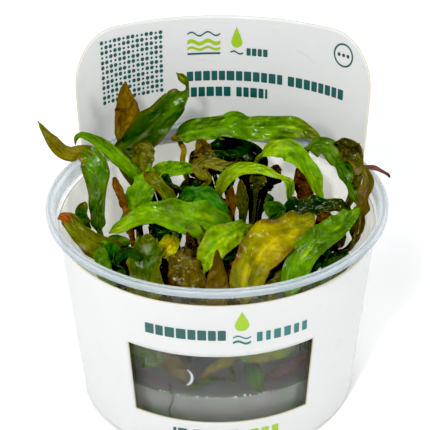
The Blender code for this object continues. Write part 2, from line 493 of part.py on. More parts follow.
# A leaf: a round stalk that flattens into a thin blade, lofted as one closed skin
def make_leaf(name, leaf, materials, collection):
    colour, crown, slot, faces, fold, wave, route = leaf
    x, y = CROWNS[crown]
    slot = math.radians(slot)
    base = (x + STALK_RING * math.cos(slot), y + STALK_RING * math.sin(slot), STALK_BASE, route[0][3])
    points = [Vector(point) * MM for point in [base] + route]
    first_blade = next(k for k, point in enumerate(points) if point.w > STALK_WIDTH)

    stations = []
    for stretch in range(len(points) - 1):
        shares = (0.0, 0.5) if stretch >= first_blade - 1 else (0.0,)
        stations += [(stretch + share, route_point(points, stretch, share)) for share in shares]
    stations.append((len(points) - 1.0, points[-1]))

    shape = bmesh.new()
    rings = []
    across = (-1.0, -0.45, 0.45, 1.0, 0.45, -0.45)
    last = len(points) - 1.0
    for k, (place, point) in enumerate(stations):
        ahead = stations[min(k + 1, len(stations) - 1)][1]
        behind = stations[max(k - 1, 0)][1]
        along = (ahead - behind).xyz.normalized()
        share = max(0.0, (place - first_blade + 1) / (last - first_blade + 1))
        face = blend_faces(faces, share)
        side = along.cross(face).normalized()
        face = side.cross(along).normalized()
        half = point.w / 2
        flat = min(1.0, max(0.0, (point.w - FLATTENS_FROM) / FLATTENS_OVER)) if share < 0.5 else 1.0
        thick = min(point.w, point.w * (1 - flat) + BLADE * flat)
        tilt = math.radians(fold) * flat * min(1.0, half / (1.5 * MM))
        ripple = wave * MM * flat * math.sin(2 * math.pi * RIPPLES * share) * math.sin(math.pi * share)
        ring = []
        for step, u in enumerate(across):
            outer = abs(u)
            bulk = thick / 2 * math.sqrt(max(0.0, 1.0 - outer ** 2))
            level = bulk if step < 4 else -bulk
            sway = half * outer * math.sin(tilt) + ripple * outer ** 2 * (1 if u > 0 else -1)
            reach = half * u * math.cos(tilt)
            ring.append(shape.verts.new(point.xyz + side * reach + face * (sway + level)))
        rings.append(ring)
    for ring, after in zip(rings, rings[1:]):
        for k in range(len(ring)):
            following = (k + 1) % len(ring)
            shape.faces.new((ring[k], ring[following], after[following], after[k]))
    shape.faces.new(rings[0])
    shape.faces.new(rings[-1])
    new_object(name, mesh_from(name, shape), materials[colour], collection)


def main():
    for thing in list(bpy.data.objects):
        bpy.data.objects.remove(thing, do_unlink=True)
    parts = bpy.data.collections.new("potted_water_plant")
    cutters = bpy.data.collections.new("cutters")
    bpy.context.scene.collection.children.link(parts)
    bpy.context.scene.collection.children.link(cutters)
    cutters.hide_render = True

    make_cup(parts)
    make_sleeve(parts)
    pits = make_crowns(parts, cutters)
    make_gel(parts, pits)
    materials = {
        name: new_material("leaf_" + name, colour, 0.3) for name, colour in LEAF_COLOURS.items()
    }
    for name, leaf in LEAVES.items():
        make_leaf(name, leaf, materials, parts)


main()
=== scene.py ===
import math

import bmesh
import bpy
from mathutils import Matrix, Vector, noise


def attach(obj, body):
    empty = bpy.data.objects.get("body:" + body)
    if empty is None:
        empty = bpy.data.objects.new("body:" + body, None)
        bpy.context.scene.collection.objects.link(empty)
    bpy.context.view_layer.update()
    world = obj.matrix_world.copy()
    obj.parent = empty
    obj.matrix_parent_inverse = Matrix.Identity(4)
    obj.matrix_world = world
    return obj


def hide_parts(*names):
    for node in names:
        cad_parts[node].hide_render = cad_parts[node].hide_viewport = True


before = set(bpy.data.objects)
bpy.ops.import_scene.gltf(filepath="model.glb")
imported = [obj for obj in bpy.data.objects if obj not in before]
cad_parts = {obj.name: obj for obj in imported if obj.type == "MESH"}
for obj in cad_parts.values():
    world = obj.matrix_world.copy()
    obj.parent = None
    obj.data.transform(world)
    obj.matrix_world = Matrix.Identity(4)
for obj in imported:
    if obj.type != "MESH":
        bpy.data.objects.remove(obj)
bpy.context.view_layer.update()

mm = 0.001
root = "root"
sharpAngle = math.radians(50)  # edges that bend more stay sharp
weld = 0.00001  # points nearer than this, in metres, become one


# Shader helpers: a wrapped socket that takes Python maths, and a small kit round one material
class Wire:
    def __init__(self, kit, socket):
        self.kit = kit
        self.socket = socket

    def math(self, operation, *others):
        return self.kit.node("ShaderNodeMath", {"operation": operation}, [self, *others])

    def __add__(self, other):
        return self.math("ADD", other)

    __radd__ = __add__

    def __mul__(self, other):
        return self.math("MULTIPLY", other)

    __rmul__ = __mul__

    def __sub__(self, other):
        return self.math("SUBTRACT", other)

    def __rsub__(self, other):
        return self.kit.node("ShaderNodeMath", {"operation": "SUBTRACT"}, [other, self])

    def __pow__(self, other):
        return self.math("POWER", other)

    def between(self, low, high):  # 0 below low, 1 above high, smooth in between
        settings = {"interpolation_type": "SMOOTHSTEP"}
        inputs = {"Value": self, "From Min": low, "From Max": high}
        return self.kit.node("ShaderNodeMapRange", settings, inputs)


class Finish:
    def __init__(self, name):
        self.material = bpy.data.materials.new(name)
        self.material.use_nodes = True
        self.tree = self.material.node_tree
        self.shader = self.tree.nodes["Principled BSDF"]

    def node(self, kind, settings=None, inputs=None, output=0):
        made = self.tree.nodes.new(kind)
        for key, value in (settings or {}).items():
            setattr(made, key, value)
        pairs = enumerate(inputs) if isinstance(inputs, (list, tuple)) else (inputs or {}).items()
        for key, value in pairs:
            self.plug(made.inputs[key], value)
        return Wire(self, made.outputs[output])

    def plug(self, socket, value):
        if isinstance(value, Wire):
            self.tree.links.new(value.socket, socket)
        elif isinstance(value, (tuple, list)) and socket.type == "RGBA":
            socket.default_value = (*value[:3], 1.0)
        else:
            socket.default_value = value

    def mix(self, share, first, second):  # two colours
        made = self.tree.nodes.new("ShaderNodeMix")
        made.data_type = "RGBA"
        self.plug(made.inputs["Factor"], share)
        self.plug(made.inputs[6], first)
        self.plug(made.inputs[7], second)
        return Wire(self, made.outputs[2])

    def place(self, stretch=(1.0, 1.0, 1.0)):  # a point of the piece, in metres times stretch
        point = self.node("ShaderNodeTexCoord", output="Object")
        return self.node("ShaderNodeMapping", None, {"Vector": point, "Scale": stretch})

    def noise(self, point, scale, detail=3.0, roughness=0.5):
        inputs = {"Vector": point, "Scale": scale, "Detail": detail, "Roughness": roughness}
        return self.node("ShaderNodeTexNoise", None, inputs)

    def bump(self, height, depth, strength=1.0):  # depth in metres
        inputs = {"Height": height, "Distance": depth, "Strength": strength}
        return self.node("ShaderNodeBump", None, inputs)

    def axes(self, point):  # its three numbers
        made = self.tree.nodes.new("ShaderNodeSeparateXYZ")
        self.plug(made.inputs["Vector"], point)
        return [Wire(self, socket) for socket in made.outputs]

    def set(self, **values):
        for key, value in values.items():
            self.plug(self.shader.inputs[key.replace("_", " ")], value)
        return self


# Tones of the leaves, as linear colours
tones = {
    "night": (0.016, 0.03, 0.003),
    "deep": (0.04, 0.09, 0.003),
    "emerald": (0.03, 0.15, 0.006),
    "mid": (0.075, 0.175, 0.003),
    "fresh": (0.125, 0.285, 0.003),
    "lime": (0.27, 0.43, 0.005),
    "yellow": (0.45, 0.39, 0.003),
    "olive": (0.13, 0.14, 0.006),
    "plum": (0.075, 0.038, 0.045),
    "rust": (0.32, 0.09, 0.015),
    "bronze": (0.2, 0.15, 0.006),
    # pale: a painted sheen, laid as patches where a leaf reflects the light
    "pale": (0.15, 0.2, 0.08),
    "ochre": (0.26, 0.24, 0.002),
    "moss": (0.055, 0.05, 0.006),
    "brown": (0.105, 0.075, 0.007),
    "khaki": (0.2, 0.19, 0.03),
    "amber": (0.22, 0.12, 0.005),
    "umber": (0.14, 0.06, 0.006),
    "soot": (0.045, 0.024, 0.004),
    "mauve": (0.2, 0.085, 0.075),
}


def mixTone(first, second, share):
    return tuple(a + (b - a) * share for a, b in zip(first, second))


def smooth(low, high, value):
    share = min(1.0, max(0.0, (value - low) / (high - low)))
    return share * share * (3 - 2 * share)


def keep(name, bm, materials, smoothShade=True):  # a bmesh becomes a piece of the object
    mesh = bpy.data.meshes.new(name)
    bm.to_mesh(mesh)
    bm.free()
    for material in materials:
        mesh.materials.append(material)
    if smoothShade:
        mesh.shade_smooth()
        mesh.set_sharp_from_angle(angle=sharpAngle)
    piece = bpy.data.objects.new(name, mesh)
    bpy.context.scene.collection.objects.link(piece)
    return piece


def settle(piece, slot, *nodes):  # rides on the frame, and hides the nodes it replaces
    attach(piece, root)
    if nodes:
        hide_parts(*nodes)
    return piece


# Leaves
crowns = {  # where each crown stands, x and y in mm
    "back_left": (-20, 14),
    "back": (7, 21),
    "right": (25, 4),
    "front": (2, -12),
    "front_left": (-20, -9),
    "front_right": (20, -15),
}

leafUsual = dict(  # what a leaf has where its own lines say nothing else
    stalk="moss",
    change=(0.6, 1.0),  # where along the blade the third tone comes in
    flecks=None,  # the slot's own flecks
    wet=0.3,
    fold=10,  # degrees at the midrib
    wave=0.3,
    ripples=3,
    curl=0.35,
    faces=[(0, -0.8, 0.6)],
    patches=[],
)

# A leaf has its crown and its turn round it in degrees, its tones, the ways its upper face looks,
# patches as (along, across, size, tone), and a route of (x, y, z, width) in mm from stalk to tip
leaves = {
    "left_wavy": dict(slot="green", crown="front_left", turn=140, tones="deep mid bronze", margin="brown",
        change=(0.48, 0.56), wet=0.6, fold=4, wave=0.8, ripples=6, curl=0.1, faces=[(-0.3, -1, 0.3),
        (-0.1, -0.9, 0.5), (0, -0.8, 0.6), (0.1, -0.8, 0.6)], patches=[(0.12, 0.5, 0.12, "mid"),
        (0.3, -0.2, 0.14, "deep"), (0.4, 0.4, 0.1, "emerald"), (0.7, 0.2, 0.08, "khaki"),
        (0.97, 0, 0.06, "soot")], route=[(-31, 2, 36, 1.6), (-33.5, 5, 44, 1.8), (-34.7, 7, 46.9, 2.9),
        (-34.9, 7.6, 49.3, 5.6), (-34.9, 8.6, 52.4, 5.9), (-35.1, 9.6, 55.9, 5.3), (-35.1, 11.6, 58.8, 7),
        (-35.4, 14, 61.5, 8.2), (-36.3, 16.6, 63.8, 7.9), (-37.8, 19, 65.5, 5.9), (-40.3, 21, 65.7, 4.1),
        (-43.1, 22.4, 64.3, 3.9), (-45.8, 23.4, 64.8, 3.9), (-48.4, 24.2, 67.4, 3.3),
        (-50.4, 24.8, 70.2, 2.1), (-51.8, 25, 72.4, 1.2), (-52.6, 25.2, 74, 0.7)]),
    "young_left": dict(slot="amber", crown="front_left", turn=95, tones="umber umber umber", margin="soot",
        stalk="umber", ripples=1, faces=[(0, -0.9, 0.4)], route=[(-23, -3.5, 42, 1.6),
        (-24.6, -2, 50.2, 1.7), (-26.1, 3, 54.7, 2.3), (-27.5, 6, 59, 2.6), (-29.1, 10, 60.4, 2.3),
        (-30, 13, 61.7, 0.9)]),
    "left_strap": dict(slot="bright", crown="back_left", turn=160, tones="mid fresh deep", margin="mid",
        wet=0.2, fold=16, curl=0.6, faces=[(0.2, -0.8, 0.6), (0, -0.6, 0.8), (-0.6, -0.4, 0.7)],
        route=[(-18.5, 17, 44, 1.6), (-19.5, 18.6, 53, 2), (-22.1, 18.4, 56.8, 3), (-24.8, 19, 59.3, 4.4),
        (-28.3, 20, 62.5, 5), (-31.4, 20.5, 65.6, 4.7), (-34.6, 21, 68.4, 3.8), (-37.1, 21, 70.4, 2.9),
        (-39.2, 21, 71.2, 2.5), (-40.6, 20.6, 71, 1.8), (-41.2, 20, 69.6, 1.2), (-41.2, 19.6, 68.9, 0.7)]),
    "amber_tall": dict(slot="amber", crown="back_left", turn=110, tones="olive amber amber", margin="umber",
        wet=0.1, fold=5, curl=0.15, faces=[(0, -1, 0.2)], route=[(-24, 26, 42, 1.6), (-25.4, 32, 53, 1.8),
        (-28, 33.6, 61.1, 2.7), (-28.5, 35, 64.9, 4.5), (-27.5, 35, 68.6, 6.9), (-26.7, 35, 72.3, 7.5),
        (-26.9, 34.8, 75.8, 5.4), (-26.9, 34.6, 78.9, 3), (-26.8, 34.4, 82, 0.7)]),
    "broad_back": dict(slot="green", crown="back_left", turn=60, tones="moss deep olive", margin="brown",
        wet=0.4, fold=4, wave=0.7, ripples=5, curl=0.15, faces=[(0.1, -0.9, 0.4), (0.2, -0.9, 0.4),
        # the pale patches are a painted sheen
        (0.4, -0.8, 0.4)], patches=[(0.3, 0.1, 0.08, "pale"), (0.4, -0.2, 0.06, "pale"),
        (0.3, -0.9, 0.1, "moss"), (0.25, -0.6, 0.13, "deep"), (0.15, 0.2, 0.1, "night"),
        (0.42, -0.8, 0.1, "olive"), (0.62, -0.8, 0.1, "brown"), (0.5, 0.3, 0.16, "mid"),
        (0.74, 0, 0.05, "khaki"), (0.9, 0, 0.09, "lime")], route=[(-19.5, 23, 42, 1.8),
        (-27.8, 26, 56, 1.8), (-29, 27, 59.3, 2.4), (-28.3, 27.6, 62, 6.6), (-25.8, 28, 64.2, 9),
        (-22.8, 28.6, 66.9, 10.2), (-19.7, 29.2, 69.9, 11), (-16.7, 30, 72.8, 10.4),
        (-13.7, 30.6, 75.8, 9.2), (-11.6, 31.4, 77.7, 7.1), (-9.8, 32, 78.7, 3.9), (-8.7, 32.2, 80.3, 1.2),
        (-8.5, 32, 82.4, 1.2), (-9.4, 31.6, 83.7, 2.7), (-10.5, 31, 85.3, 2.4), (-11.7, 30.6, 86.8, 0.7)]),
    "olive_glossy": dict(slot="olive", crown="back_left", turn=205, tones="olive olive brown",
        margin="umber", wet=0.8, fold=14, wave=0.5, faces=[(0.2, -0.9, 0.4)], route=[(-23.5, 16, 42, 1.6),
        (-23.8, 20, 53.2, 2.1), (-23.4, 20.6, 57, 4.2), (-22.7, 21.4, 59.9, 5.9), (-21.8, 23, 62.4, 7.1),
        (-20.9, 24.4, 64.4, 6.5), (-20.3, 25.6, 65.7, 3), (-20, 26, 66.5, 0.7)]),
    "bright_steep": dict(slot="bright", crown="back_left", turn=250, tones="mid fresh fresh",
        margin="fresh", wet=0.2, fold=8, wave=0.5, ripples=4, faces=[(-0.4, -0.8, 0.4), (-0.2, -0.7, 0.7)],
        route=[(-24.5, 7.5, 40, 1.6), (-25.2, 6, 48.4, 2.3), (-24.8, 6.4, 52.6, 4.7), (-23.3, 8, 55.7, 7),
        (-21.6, 10.6, 58.3, 7.6), (-20.4, 13.6, 60.2, 5.9), (-19.7, 15.6, 62.1, 2.9),
        (-19.4, 16.6, 63.3, 0.7)]),
    "green_low": dict(slot="bright", crown="back_left", turn=10, tones="mid fresh fresh", margin="lime",
        wet=0.25, faces=[(0, -0.6, 0.8)], route=[(-16, 21, 42, 1.5), (-17.9, 22, 52.7, 1.8),
        (-18.4, 22.6, 56.5, 3.6), (-16.9, 23, 58.3, 4.2), (-14.5, 24, 58.1, 4.8), (-11.5, 24.6, 57.7, 4.2),
        (-8.5, 25, 57.4, 3), (-5.6, 25, 56.7, 0.7)]),
    "rolled": dict(slot="yellow", crown="back_left", turn=300, tones="mid olive umber", margin="umber",
        fold=40, faces=[(0.4, -0.8, 0.4), (0.3, -0.8, 0.5)], route=[(-15.5, 8.2, 42, 1.6),
        (-13.1, 7, 51.8, 2), (-12.5, 7, 55.5, 2.9), (-13.6, 7.2, 57.8, 4.7), (-15.6, 8, 60, 5.2),
        (-17.6, 9, 61.8, 5.5), (-19.4, 10, 62.9, 5.2), (-20.5, 10.8, 63.8, 2.9), (-21.1, 11, 64.7, 0.7)]),
    "long_back": dict(slot="green", crown="back", turn=175, tones="mid fresh olive", margin="olive",
        stalk="amber", wet=0.5, fold=5, wave=0.7, ripples=6, curl=0.1, faces=[(0, -0.9, 0.45),
        (0, -0.9, 0.45), (0.2, -0.9, 0.4)], patches=[(0.25, -0.5, 0.1, "deep"), (0.36, -0.7, 0.08, "night"),
        (0.2, 0.2, 0.1, "fresh"), (0.55, 0.1, 0.14, "fresh"), (0.74, 0, 0.12, "lime"),
        (0.9, -0.3, 0.12, "olive"), (0.93, 0.3, 0.06, "brown")], route=[(0.4, 24, 40, 1.7),
        (-7.5, 28.0, 49.8, 1.8), (-9.6, 32.0, 52.5, 1.8), (-10.4, 36.0, 54.5, 1.8), (-9.9, 39.4, 56.1, 1.8),
        (-11.1, 41.0, 57.9, 1.8), (-11.1, 40.6, 61, 1.8), (-12.9, 38.6, 60.7, 1.8), (-12, 37.4, 61.4, 2.7),
        (-10.1, 37.6, 62.6, 5.5), (-7.4, 38, 63.6, 7), (-4, 38.6, 63.8, 7.6), (-0.7, 39, 64, 7.9),
        (2.7, 39.2, 64.4, 8.5), (5.5, 39.3, 64.9, 9.1), (9.1, 39.3, 64, 7.3), (13.4, 39.2, 64, 7),
        (18.2, 38, 64.6, 6.7), (22.4, 36.6, 65.3, 6.4), (25.4, 35, 65.4, 5.4), (28, 33.4, 64.9, 3.9),
        (30.4, 32, 64.2, 2.1), (31.8, 31, 63.9, 0.7)]),
    # dark_back: its near-black tones are painted shade, for a leaf in the shadow of those in front
    "dark_back": dict(slot="dark", crown="back", turn=65, tones="night night deep", margin="night", wet=0.9,
        fold=22, wave=0.9, ripples=4, faces=[(0, -0.9, 0.4)], route=[(12.4, 31.4, 44, 1.6),
        (14.4, 35, 50, 2.4), (12, 36.6, 55, 7), (5, 37, 57, 8.4), (-0.4, 36.6, 57.6, 6),
        (-3.6, 36.2, 57.6, 0.8)]),
    "olive_folded": dict(slot="olive", crown="back", turn=164, tones="soot brown brown", margin="umber",
        fold=26, ripples=2, faces=[(0.2, -0.9, 0.4)], route=[(-2.8, 27.6, 42, 1.5), (-5.4, 30.6, 50, 2),
        (-6, 31.6, 54, 5), (-5, 32.4, 57.4, 6), (-4, 33, 61, 0.8)]),
    "khaki": dict(slot="olive", crown="back", turn=196, tones="olive khaki brown", margin="umber", fold=24,
        faces=[(0, -0.7, 0.7)], patches=[(0.45, -0.2, 0.1, "bronze"), (0.6, 0.1, 0.08, "bronze")],
        route=[(-4, 22.6, 40, 1.5), (-5.4, 22.4, 50, 1.8), (-2.9, 21, 55.5, 3), (-4.3, 22.4, 56.8, 4.2),
        (-5.5, 24, 58, 4.5), (-4.6, 25, 58.8, 4.5), (-2.2, 25.6, 58.8, 4.5), (0.5, 26, 57.8, 4.5),
        (3.2, 26, 57.5, 3.6), (5.9, 26, 58.3, 1.8), (7.4, 26, 59.1, 0.7)]),
    "yellow_strap": dict(slot="yellow", crown="back", turn=262, tones="olive lime mid", margin="lime",
        wet=0.2, fold=18, ripples=5, faces=[(0, -0.8, 0.6), (0, -0.8, 0.6), (0.6, -0.7, 0.4)],
        patches=[(0.12, 0, 0.1, "olive"), (0.5, 0.3, 0.1, "mid"), (0.9, 0, 0.1, "fresh")],
        route=[(2.6, 15, 42, 1.6), (0.1, 14.4, 50, 1.8), (0.4, 14.4, 54.2, 2.4), (1.6, 15, 57.5, 3.5),
        (3.7, 16, 60, 4.1), (6.3, 17, 61.5, 4.1), (9.3, 17.4, 61.9, 3.8), (12.2, 17.2, 61.8, 3.5),
        (14.9, 16.6, 60.9, 2.9), (17.5, 15.4, 60.2, 1.8), (19.8, 14.4, 59.8, 1.5), (21.3, 13.6, 58.5, 3.2),
        (21.3, 13, 56.1, 2.9), (21, 12.4, 53.3, 0.7)]),
    "yellow_arch": dict(slot="yellow", crown="back", turn=0, tones="lime fresh lime", margin="lime",
        wet=0.25, wave=0.5, ripples=4, curl=0.25, faces=[(-0.2, -0.7, 0.7), (0.2, -0.6, 0.8),
        (0.7, -0.8, 0.2)], patches=[(0.3, 0, 0.16, "lime"), (0.45, 0.3, 0.12, "mid"),
        (0.7, 0, 0.1, "lime")], route=[(10.4, 21, 45, 1.8), (11.2, 21.8, 56.7, 1.8),
        (12.1, 22.6, 61.7, 1.5), (14.2, 23.4, 63.2, 2.4), (16.5, 24, 64.3, 4.5), (19.2, 24, 64.9, 5.9),
        (21.9, 23.4, 64.7, 7.4), (24.5, 22, 63.2, 7.7), (26.8, 20, 60.9, 6.8), (28.5, 17.6, 58.2, 5.3),
        (29.7, 15.8, 55.1, 3.8), (30.6, 14.6, 52.4, 2.1), (30.6, 14, 50.7, 0.7)]),
    "brown_under": dict(slot="amber", crown="right", turn=110, tones="umber umber brown", margin="soot",
        stalk="umber", ripples=2, faces=[(-0.3, -0.9, 0.3)], route=[(22.6, 16, 38, 1.4),
        (25.9, 18.4, 44.7, 2.1), (27.3, 19, 48.5, 3.6), (26.7, 20, 51.7, 5.4), (25.5, 21, 54.6, 5.1),
        (24.6, 21.6, 57.3, 3), (24, 22, 59.2, 0.7)]),
    "green_right": dict(slot="green", crown="back", turn=33, tones="mid mid deep", margin="deep", wet=0.5,
        wave=0.6, ripples=5, faces=[(0, -0.6, 0.8), (0.2, -0.6, 0.8), (0.9, -0.7, 0.2)],
        patches=[(0.12, 0, 0.1, "mid"), (0.4, 0.4, 0.1, "fresh"), (0.55, -0.4, 0.1, "deep")],
        route=[(14.4, 24.6, 38, 1.7), (22.9, 25, 40, 1.8), (26.8, 26.6, 48.2, 1.8), (27.9, 28, 55.8, 1.8),
        (26.9, 28.6, 61, 1.8), (28.4, 28.4, 62.9, 3.9), (31.3, 27.4, 63.5, 6), (33.9, 25, 63.5, 7.5),
        (35.5, 22, 62.6, 8), (37.1, 18.6, 61.3, 7.4), (38.3, 14.6, 59.8, 6.2), (39.5, 10, 58.7, 5),
        (40.5, 7, 57.1, 3.5), (41.2, 5, 55.5, 0.9)]),
    "amber_blade": dict(slot="amber", crown="back", turn=295, tones="umber amber umber", margin="umber",
        fold=16, ripples=2, faces=[(-0.2, -1, 0.2)], route=[(4.4, 11.6, 40, 1.4), (3.8, 10.6, 48, 3),
        (4, 10.8, 54, 4), (4.6, 11.4, 59.6, 0.7)]),
    "olive_blade": dict(slot="olive", crown="back", turn=327, tones="olive olive brown", margin="umber",
        fold=16, ripples=2, faces=[(0.1, -1, 0.2)], route=[(7.6, 15, 40, 1.4), (7.6, 13.4, 49, 2.6),
        (7.2, 13, 55, 4), (7, 13, 60.4, 0.7)]),
    "dark_mid": dict(slot="dark", crown="back", turn=98, tones="night soot night", margin="night", fold=12,
        faces=[(0, -1, 0.2)], route=[(8.4, 28.4, 38, 1.4), (9.6, 30, 44, 3), (11, 29.4, 50, 5),
        (11.6, 28.4, 56, 4), (11.6, 27.6, 60, 0.8)]),
    "olive_behind": dict(slot="olive", crown="right", turn=60, tones="olive moss night", margin="amber",
        wet=0.6, fold=26, wave=0.6, faces=[(-0.3, -0.9, 0.4), (0.6, -0.8, 0.4)], route=[(31, 12, 38, 1.6),
        (36.4, 11, 49, 1.8), (40, 11, 55.4, 1.8), (41.4, 11, 60.8, 1.9), (42, 15, 62.2, 2.9),
        (41.5, 19, 63.1, 5), (39.9, 22, 64.1, 7.4), (38.1, 22.6, 65.7, 6.2), (36.3, 23, 66.1, 3.6),
        (34.3, 23, 66.5, 0.7)]),
    "amber_wall": dict(slot="amber", crown="right", turn=330, tones="moss brown khaki", margin="umber",
        fold=8, wave=0.7, ripples=4, faces=[(-0.8, -0.6, 0.3), (-0.6, -0.8, 0.3)],
        patches=[(0.3, 0, 0.14, "khaki"), (0.6, 0, 0.16, "mauve")], route=[(33.4, -3, 42, 1.6),
        (38, -6.6, 49, 2), (40, -5.4, 53.4, 4), (41.4, -1.4, 56.6, 5), (42.6, 2.6, 60, 5.2),
        (43.6, 6.4, 64, 4.2), (42.6, 9.6, 67, 0.8)]),
    "curl_right": dict(slot="mauve", crown="right", turn=15, tones="khaki mauve soot", margin="umber",
        fold=30, ripples=1, faces=[(0, -0.5, 0.85)], route=[(35.2, 12, 42, 1.3), (39, 13, 54, 1.3),
        (40.6, 12.6, 61.4, 1.3), (41, 12.6, 62.6, 2.5), (42.5, 13, 63.9, 1.8), (44.2, 13, 64.2, 1.6),
        (46.2, 12.6, 64.1, 1.3), (48.2, 12, 63.5, 1), (49.9, 11.6, 62.7, 0.8), (50.6, 11.4, 61.7, 0.7)]),
    "dark_flat": dict(slot="dark", crown="right", turn=170, tones="night night moss", margin="deep",
        wet=0.9, wave=0.9, ripples=4, faces=[(0, -0.5, 0.85), (0, -0.4, 0.9)], route=[(19.6, 6, 42, 1.6),
        (18.7, 4.2, 47, 2), (19.6, 4.6, 50.9, 3.5), (21.9, 5.6, 53, 6.4), (25.5, 7, 53.5, 7.6),
        (29.6, 8, 53.2, 7.6), (33.7, 8.4, 53.3, 7), (37.2, 8, 53.1, 4.7), (39.6, 7.6, 52.3, 1.2)]),
    "wet_right": dict(slot="green", crown="front_right", turn=265, tones="fresh mid fresh", margin="mid",
        wet=0.6, fold=8, wave=0.7, ripples=5, curl=0.2, faces=[(-0.1, -0.8, 0.6), (-0.2, -0.6, 0.8)],
        patches=[(0.3, 0, 0.1, "lime"), (0.6, 0.1, 0.08, "lime"), (0.4, 0.5, 0.1, "deep"),
        (0.75, -0.3, 0.1, "deep")], route=[(21.4, -28, 38, 1.7), (20, -30, 45.3, 2.2), (20, -28, 49.2, 5.5),
        (22.9, -22.6, 54.3, 7.8), (26.4, -18, 56.3, 8.1), (30.3, -14, 57.4, 7.9), (34.2, -9.6, 57.6, 7.1),
        (37.6, -5.6, 58.2, 5.4), (39.7, -3, 58.9, 2.9), (40.8, -2, 59.5, 0.7)]),
    "broad_front": dict(slot="yellow", crown="front", turn=335, tones="olive ochre olive", margin="umber",
        flecks=("brown", "ochre"), fold=5, wave=0.7, ripples=5, curl=0.15, faces=[(-0.3, -0.8, 0.5),
        (-0.1, -0.6, 0.8), (0, -0.5, 0.85)], patches=[(0.42, 0.1, 0.2, "yellow"),
        (0.2, -0.2, 0.14, "yellow"), (0.62, 0.3, 0.12, "yellow"), (0.6, -0.9, 0.14, "brown"),
        (0.3, -0.9, 0.12, "umber"), (0.15, 0.4, 0.1, "olive"), (0.5, 0.9, 0.1, "olive"),
        (0.78, 0, 0.1, "olive")], route=[(7.4, -25, 38, 1.8), (7.2, -33, 45.7, 2.2), (7.5, -32, 50, 7.7),
        (8.9, -27.4, 54.8, 10.4), (11.8, -23, 57.2, 12.2), (15.5, -18, 58.3, 12.8),
        (19.6, -13.4, 58.8, 11.2), (23.4, -9.4, 58.9, 7.9), (26.1, -7, 59, 4.5), (27.9, -5.8, 59.1, 1.1)]),
    "grey_under": dict(slot="olive", crown="front_right", turn=225, tones="brown khaki brown",
        margin="night", wave=0.4, route=[(14.4, -25, 36, 1.6), (14.6, -27, 43, 2), (15.6, -25.4, 49, 5),
        (18.8, -19.4, 53, 7.2), (22.2, -14.2, 55.4, 5.4), (24, -11.6, 56.4, 0.8)]),
    "curled_front": dict(slot="bright", crown="front", turn=20, tones="mid lime lime", margin="khaki",
        fold=12, wave=0.8, ripples=4, faces=[(0, -0.7, 0.7), (-0.1, -0.8, 0.6), (0, -1, 0)],
        patches=[(0.55, 0.2, 0.16, "fresh"), (0.8, 0.6, 0.08, "yellow"), (0.3, 0, 0.1, "mid")],
        route=[(11, -8.4, 42, 1.6), (11.6, -6.6, 50, 1.8), (9.9, -7.6, 56.3, 2.3), (7.6, -10, 57.8, 4.5),
        (4.7, -13, 58.3, 6.7), (1.6, -16.4, 58.1, 8.4), (-1.2, -20, 57.1, 8.9), (-2.9, -22.6, 55.5, 7.2),
        (-3.7, -24, 53.4, 3.9), (-3.7, -24.4, 51.7, 0.8)]),
    "brown_tip": dict(slot="amber", crown="front", turn=285, tones="brown brown umber", margin="umber",
        wet=0.4, fold=18, ripples=2, faces=[(0, -1, 0.2)], route=[(0.6, -28, 38, 1.5),
        (0.3, -34, 44.8, 2.2), (0.1, -34, 49.7, 7.1), (0.1, -31, 54, 6), (0, -29.6, 58.3, 3.3),
        (-0.1, -29, 62.4, 0.7)]),
    "wet_dome": dict(slot="olive", crown="front", turn=205, tones="soot brown soot", margin="soot", wet=0.9,
        fold=-14, wave=0.7, ripples=4, curl=-0.5, faces=[(-0.1, -0.9, 0.4), (0, -0.6, 0.8)],
        patches=[(0.45, 0, 0.2, "brown"), (0.8, 0, 0.14, "soot")], route=[(-7, -26, 36, 1.6),
        (-9, -31, 47.5, 2.2), (-9.1, -31, 49.2, 9.3), (-9.2, -28.6, 52.2, 11.8), (-9.2, -25, 54.5, 10.5),
        (-9.1, -22.6, 56.2, 6.9), (-9, -21, 57.5, 3.6), (-8.8, -20, 58.5, 0.8)]),
    "olive_tips": dict(slot="olive", crown="front", turn=115, tones="olive brown umber", margin="umber",
        fold=20, ripples=1, faces=[(0, -0.9, 0.4)], route=[(-5, -9, 40, 1.4), (-6.4, -11.6, 45.6, 1.7),
        (-6.9, -13, 50.5, 2.8), (-7.4, -14.4, 54.7, 3.4), (-7.9, -15, 57.7, 2.2),
        (-8.4, -15.4, 59.9, 0.7)]),
    "big_strap": dict(slot="bright", crown="front", turn=70, tones="mid fresh lime", margin="fresh", fold=6,
        wave=0.7, ripples=5, curl=0.15, faces=[(0.1, -0.7, 0.7), (0, -0.7, 0.7), (-0.3, -0.7, 0.6)],
        patches=[(0.3, 0.3, 0.12, "lime"), (0.2, -0.4, 0.1, "deep"), (0.4, -0.5, 0.1, "mid"),
        (0.55, 0.1, 0.12, "mid"), (0.9, 0, 0.14, "lime")], route=[(7, -3, 40, 1.8), (6, -3, 47.5, 2),
        (4, -3.6, 51.9, 3.4), (1.4, -4.6, 54.3, 6.9), (-2, -6, 56.6, 9.7), (-6, -7.4, 58.7, 10.8),
        (-9.9, -7.6, 60.2, 9.9), (-13.9, -7, 61, 8.2), (-17.5, -6.6, 61.1, 6.5), (-21.2, -7, 60.2, 5.4),
        (-24.9, -8, 58.9, 4.5), (-28, -9, 57.5, 3.1), (-30.6, -10, 56.5, 0.8)]),
    "dark_green_mid": dict(slot="green", crown="back", turn=229, tones="deep emerald emerald", margin="mid",
        fold=8, wave=0.4, faces=[(0, -0.6, 0.8)], route=[(-6, 14, 42, 1.5), (-10, 12.6, 48.4, 2.1),
        (-10.6, 12, 52.2, 3.5), (-8.7, 11.6, 55.2, 5.3), (-6.1, 11, 56.4, 5.9), (-3.2, 9.6, 56.3, 5.9),
        (-0.2, 7.6, 55.7, 5), (2.1, 5, 54.9, 2.6), (3.2, 3.6, 54.4, 0.7)]),
    "pointing_down": dict(slot="yellow", crown="front", turn=165, tones="fresh yellow yellow",
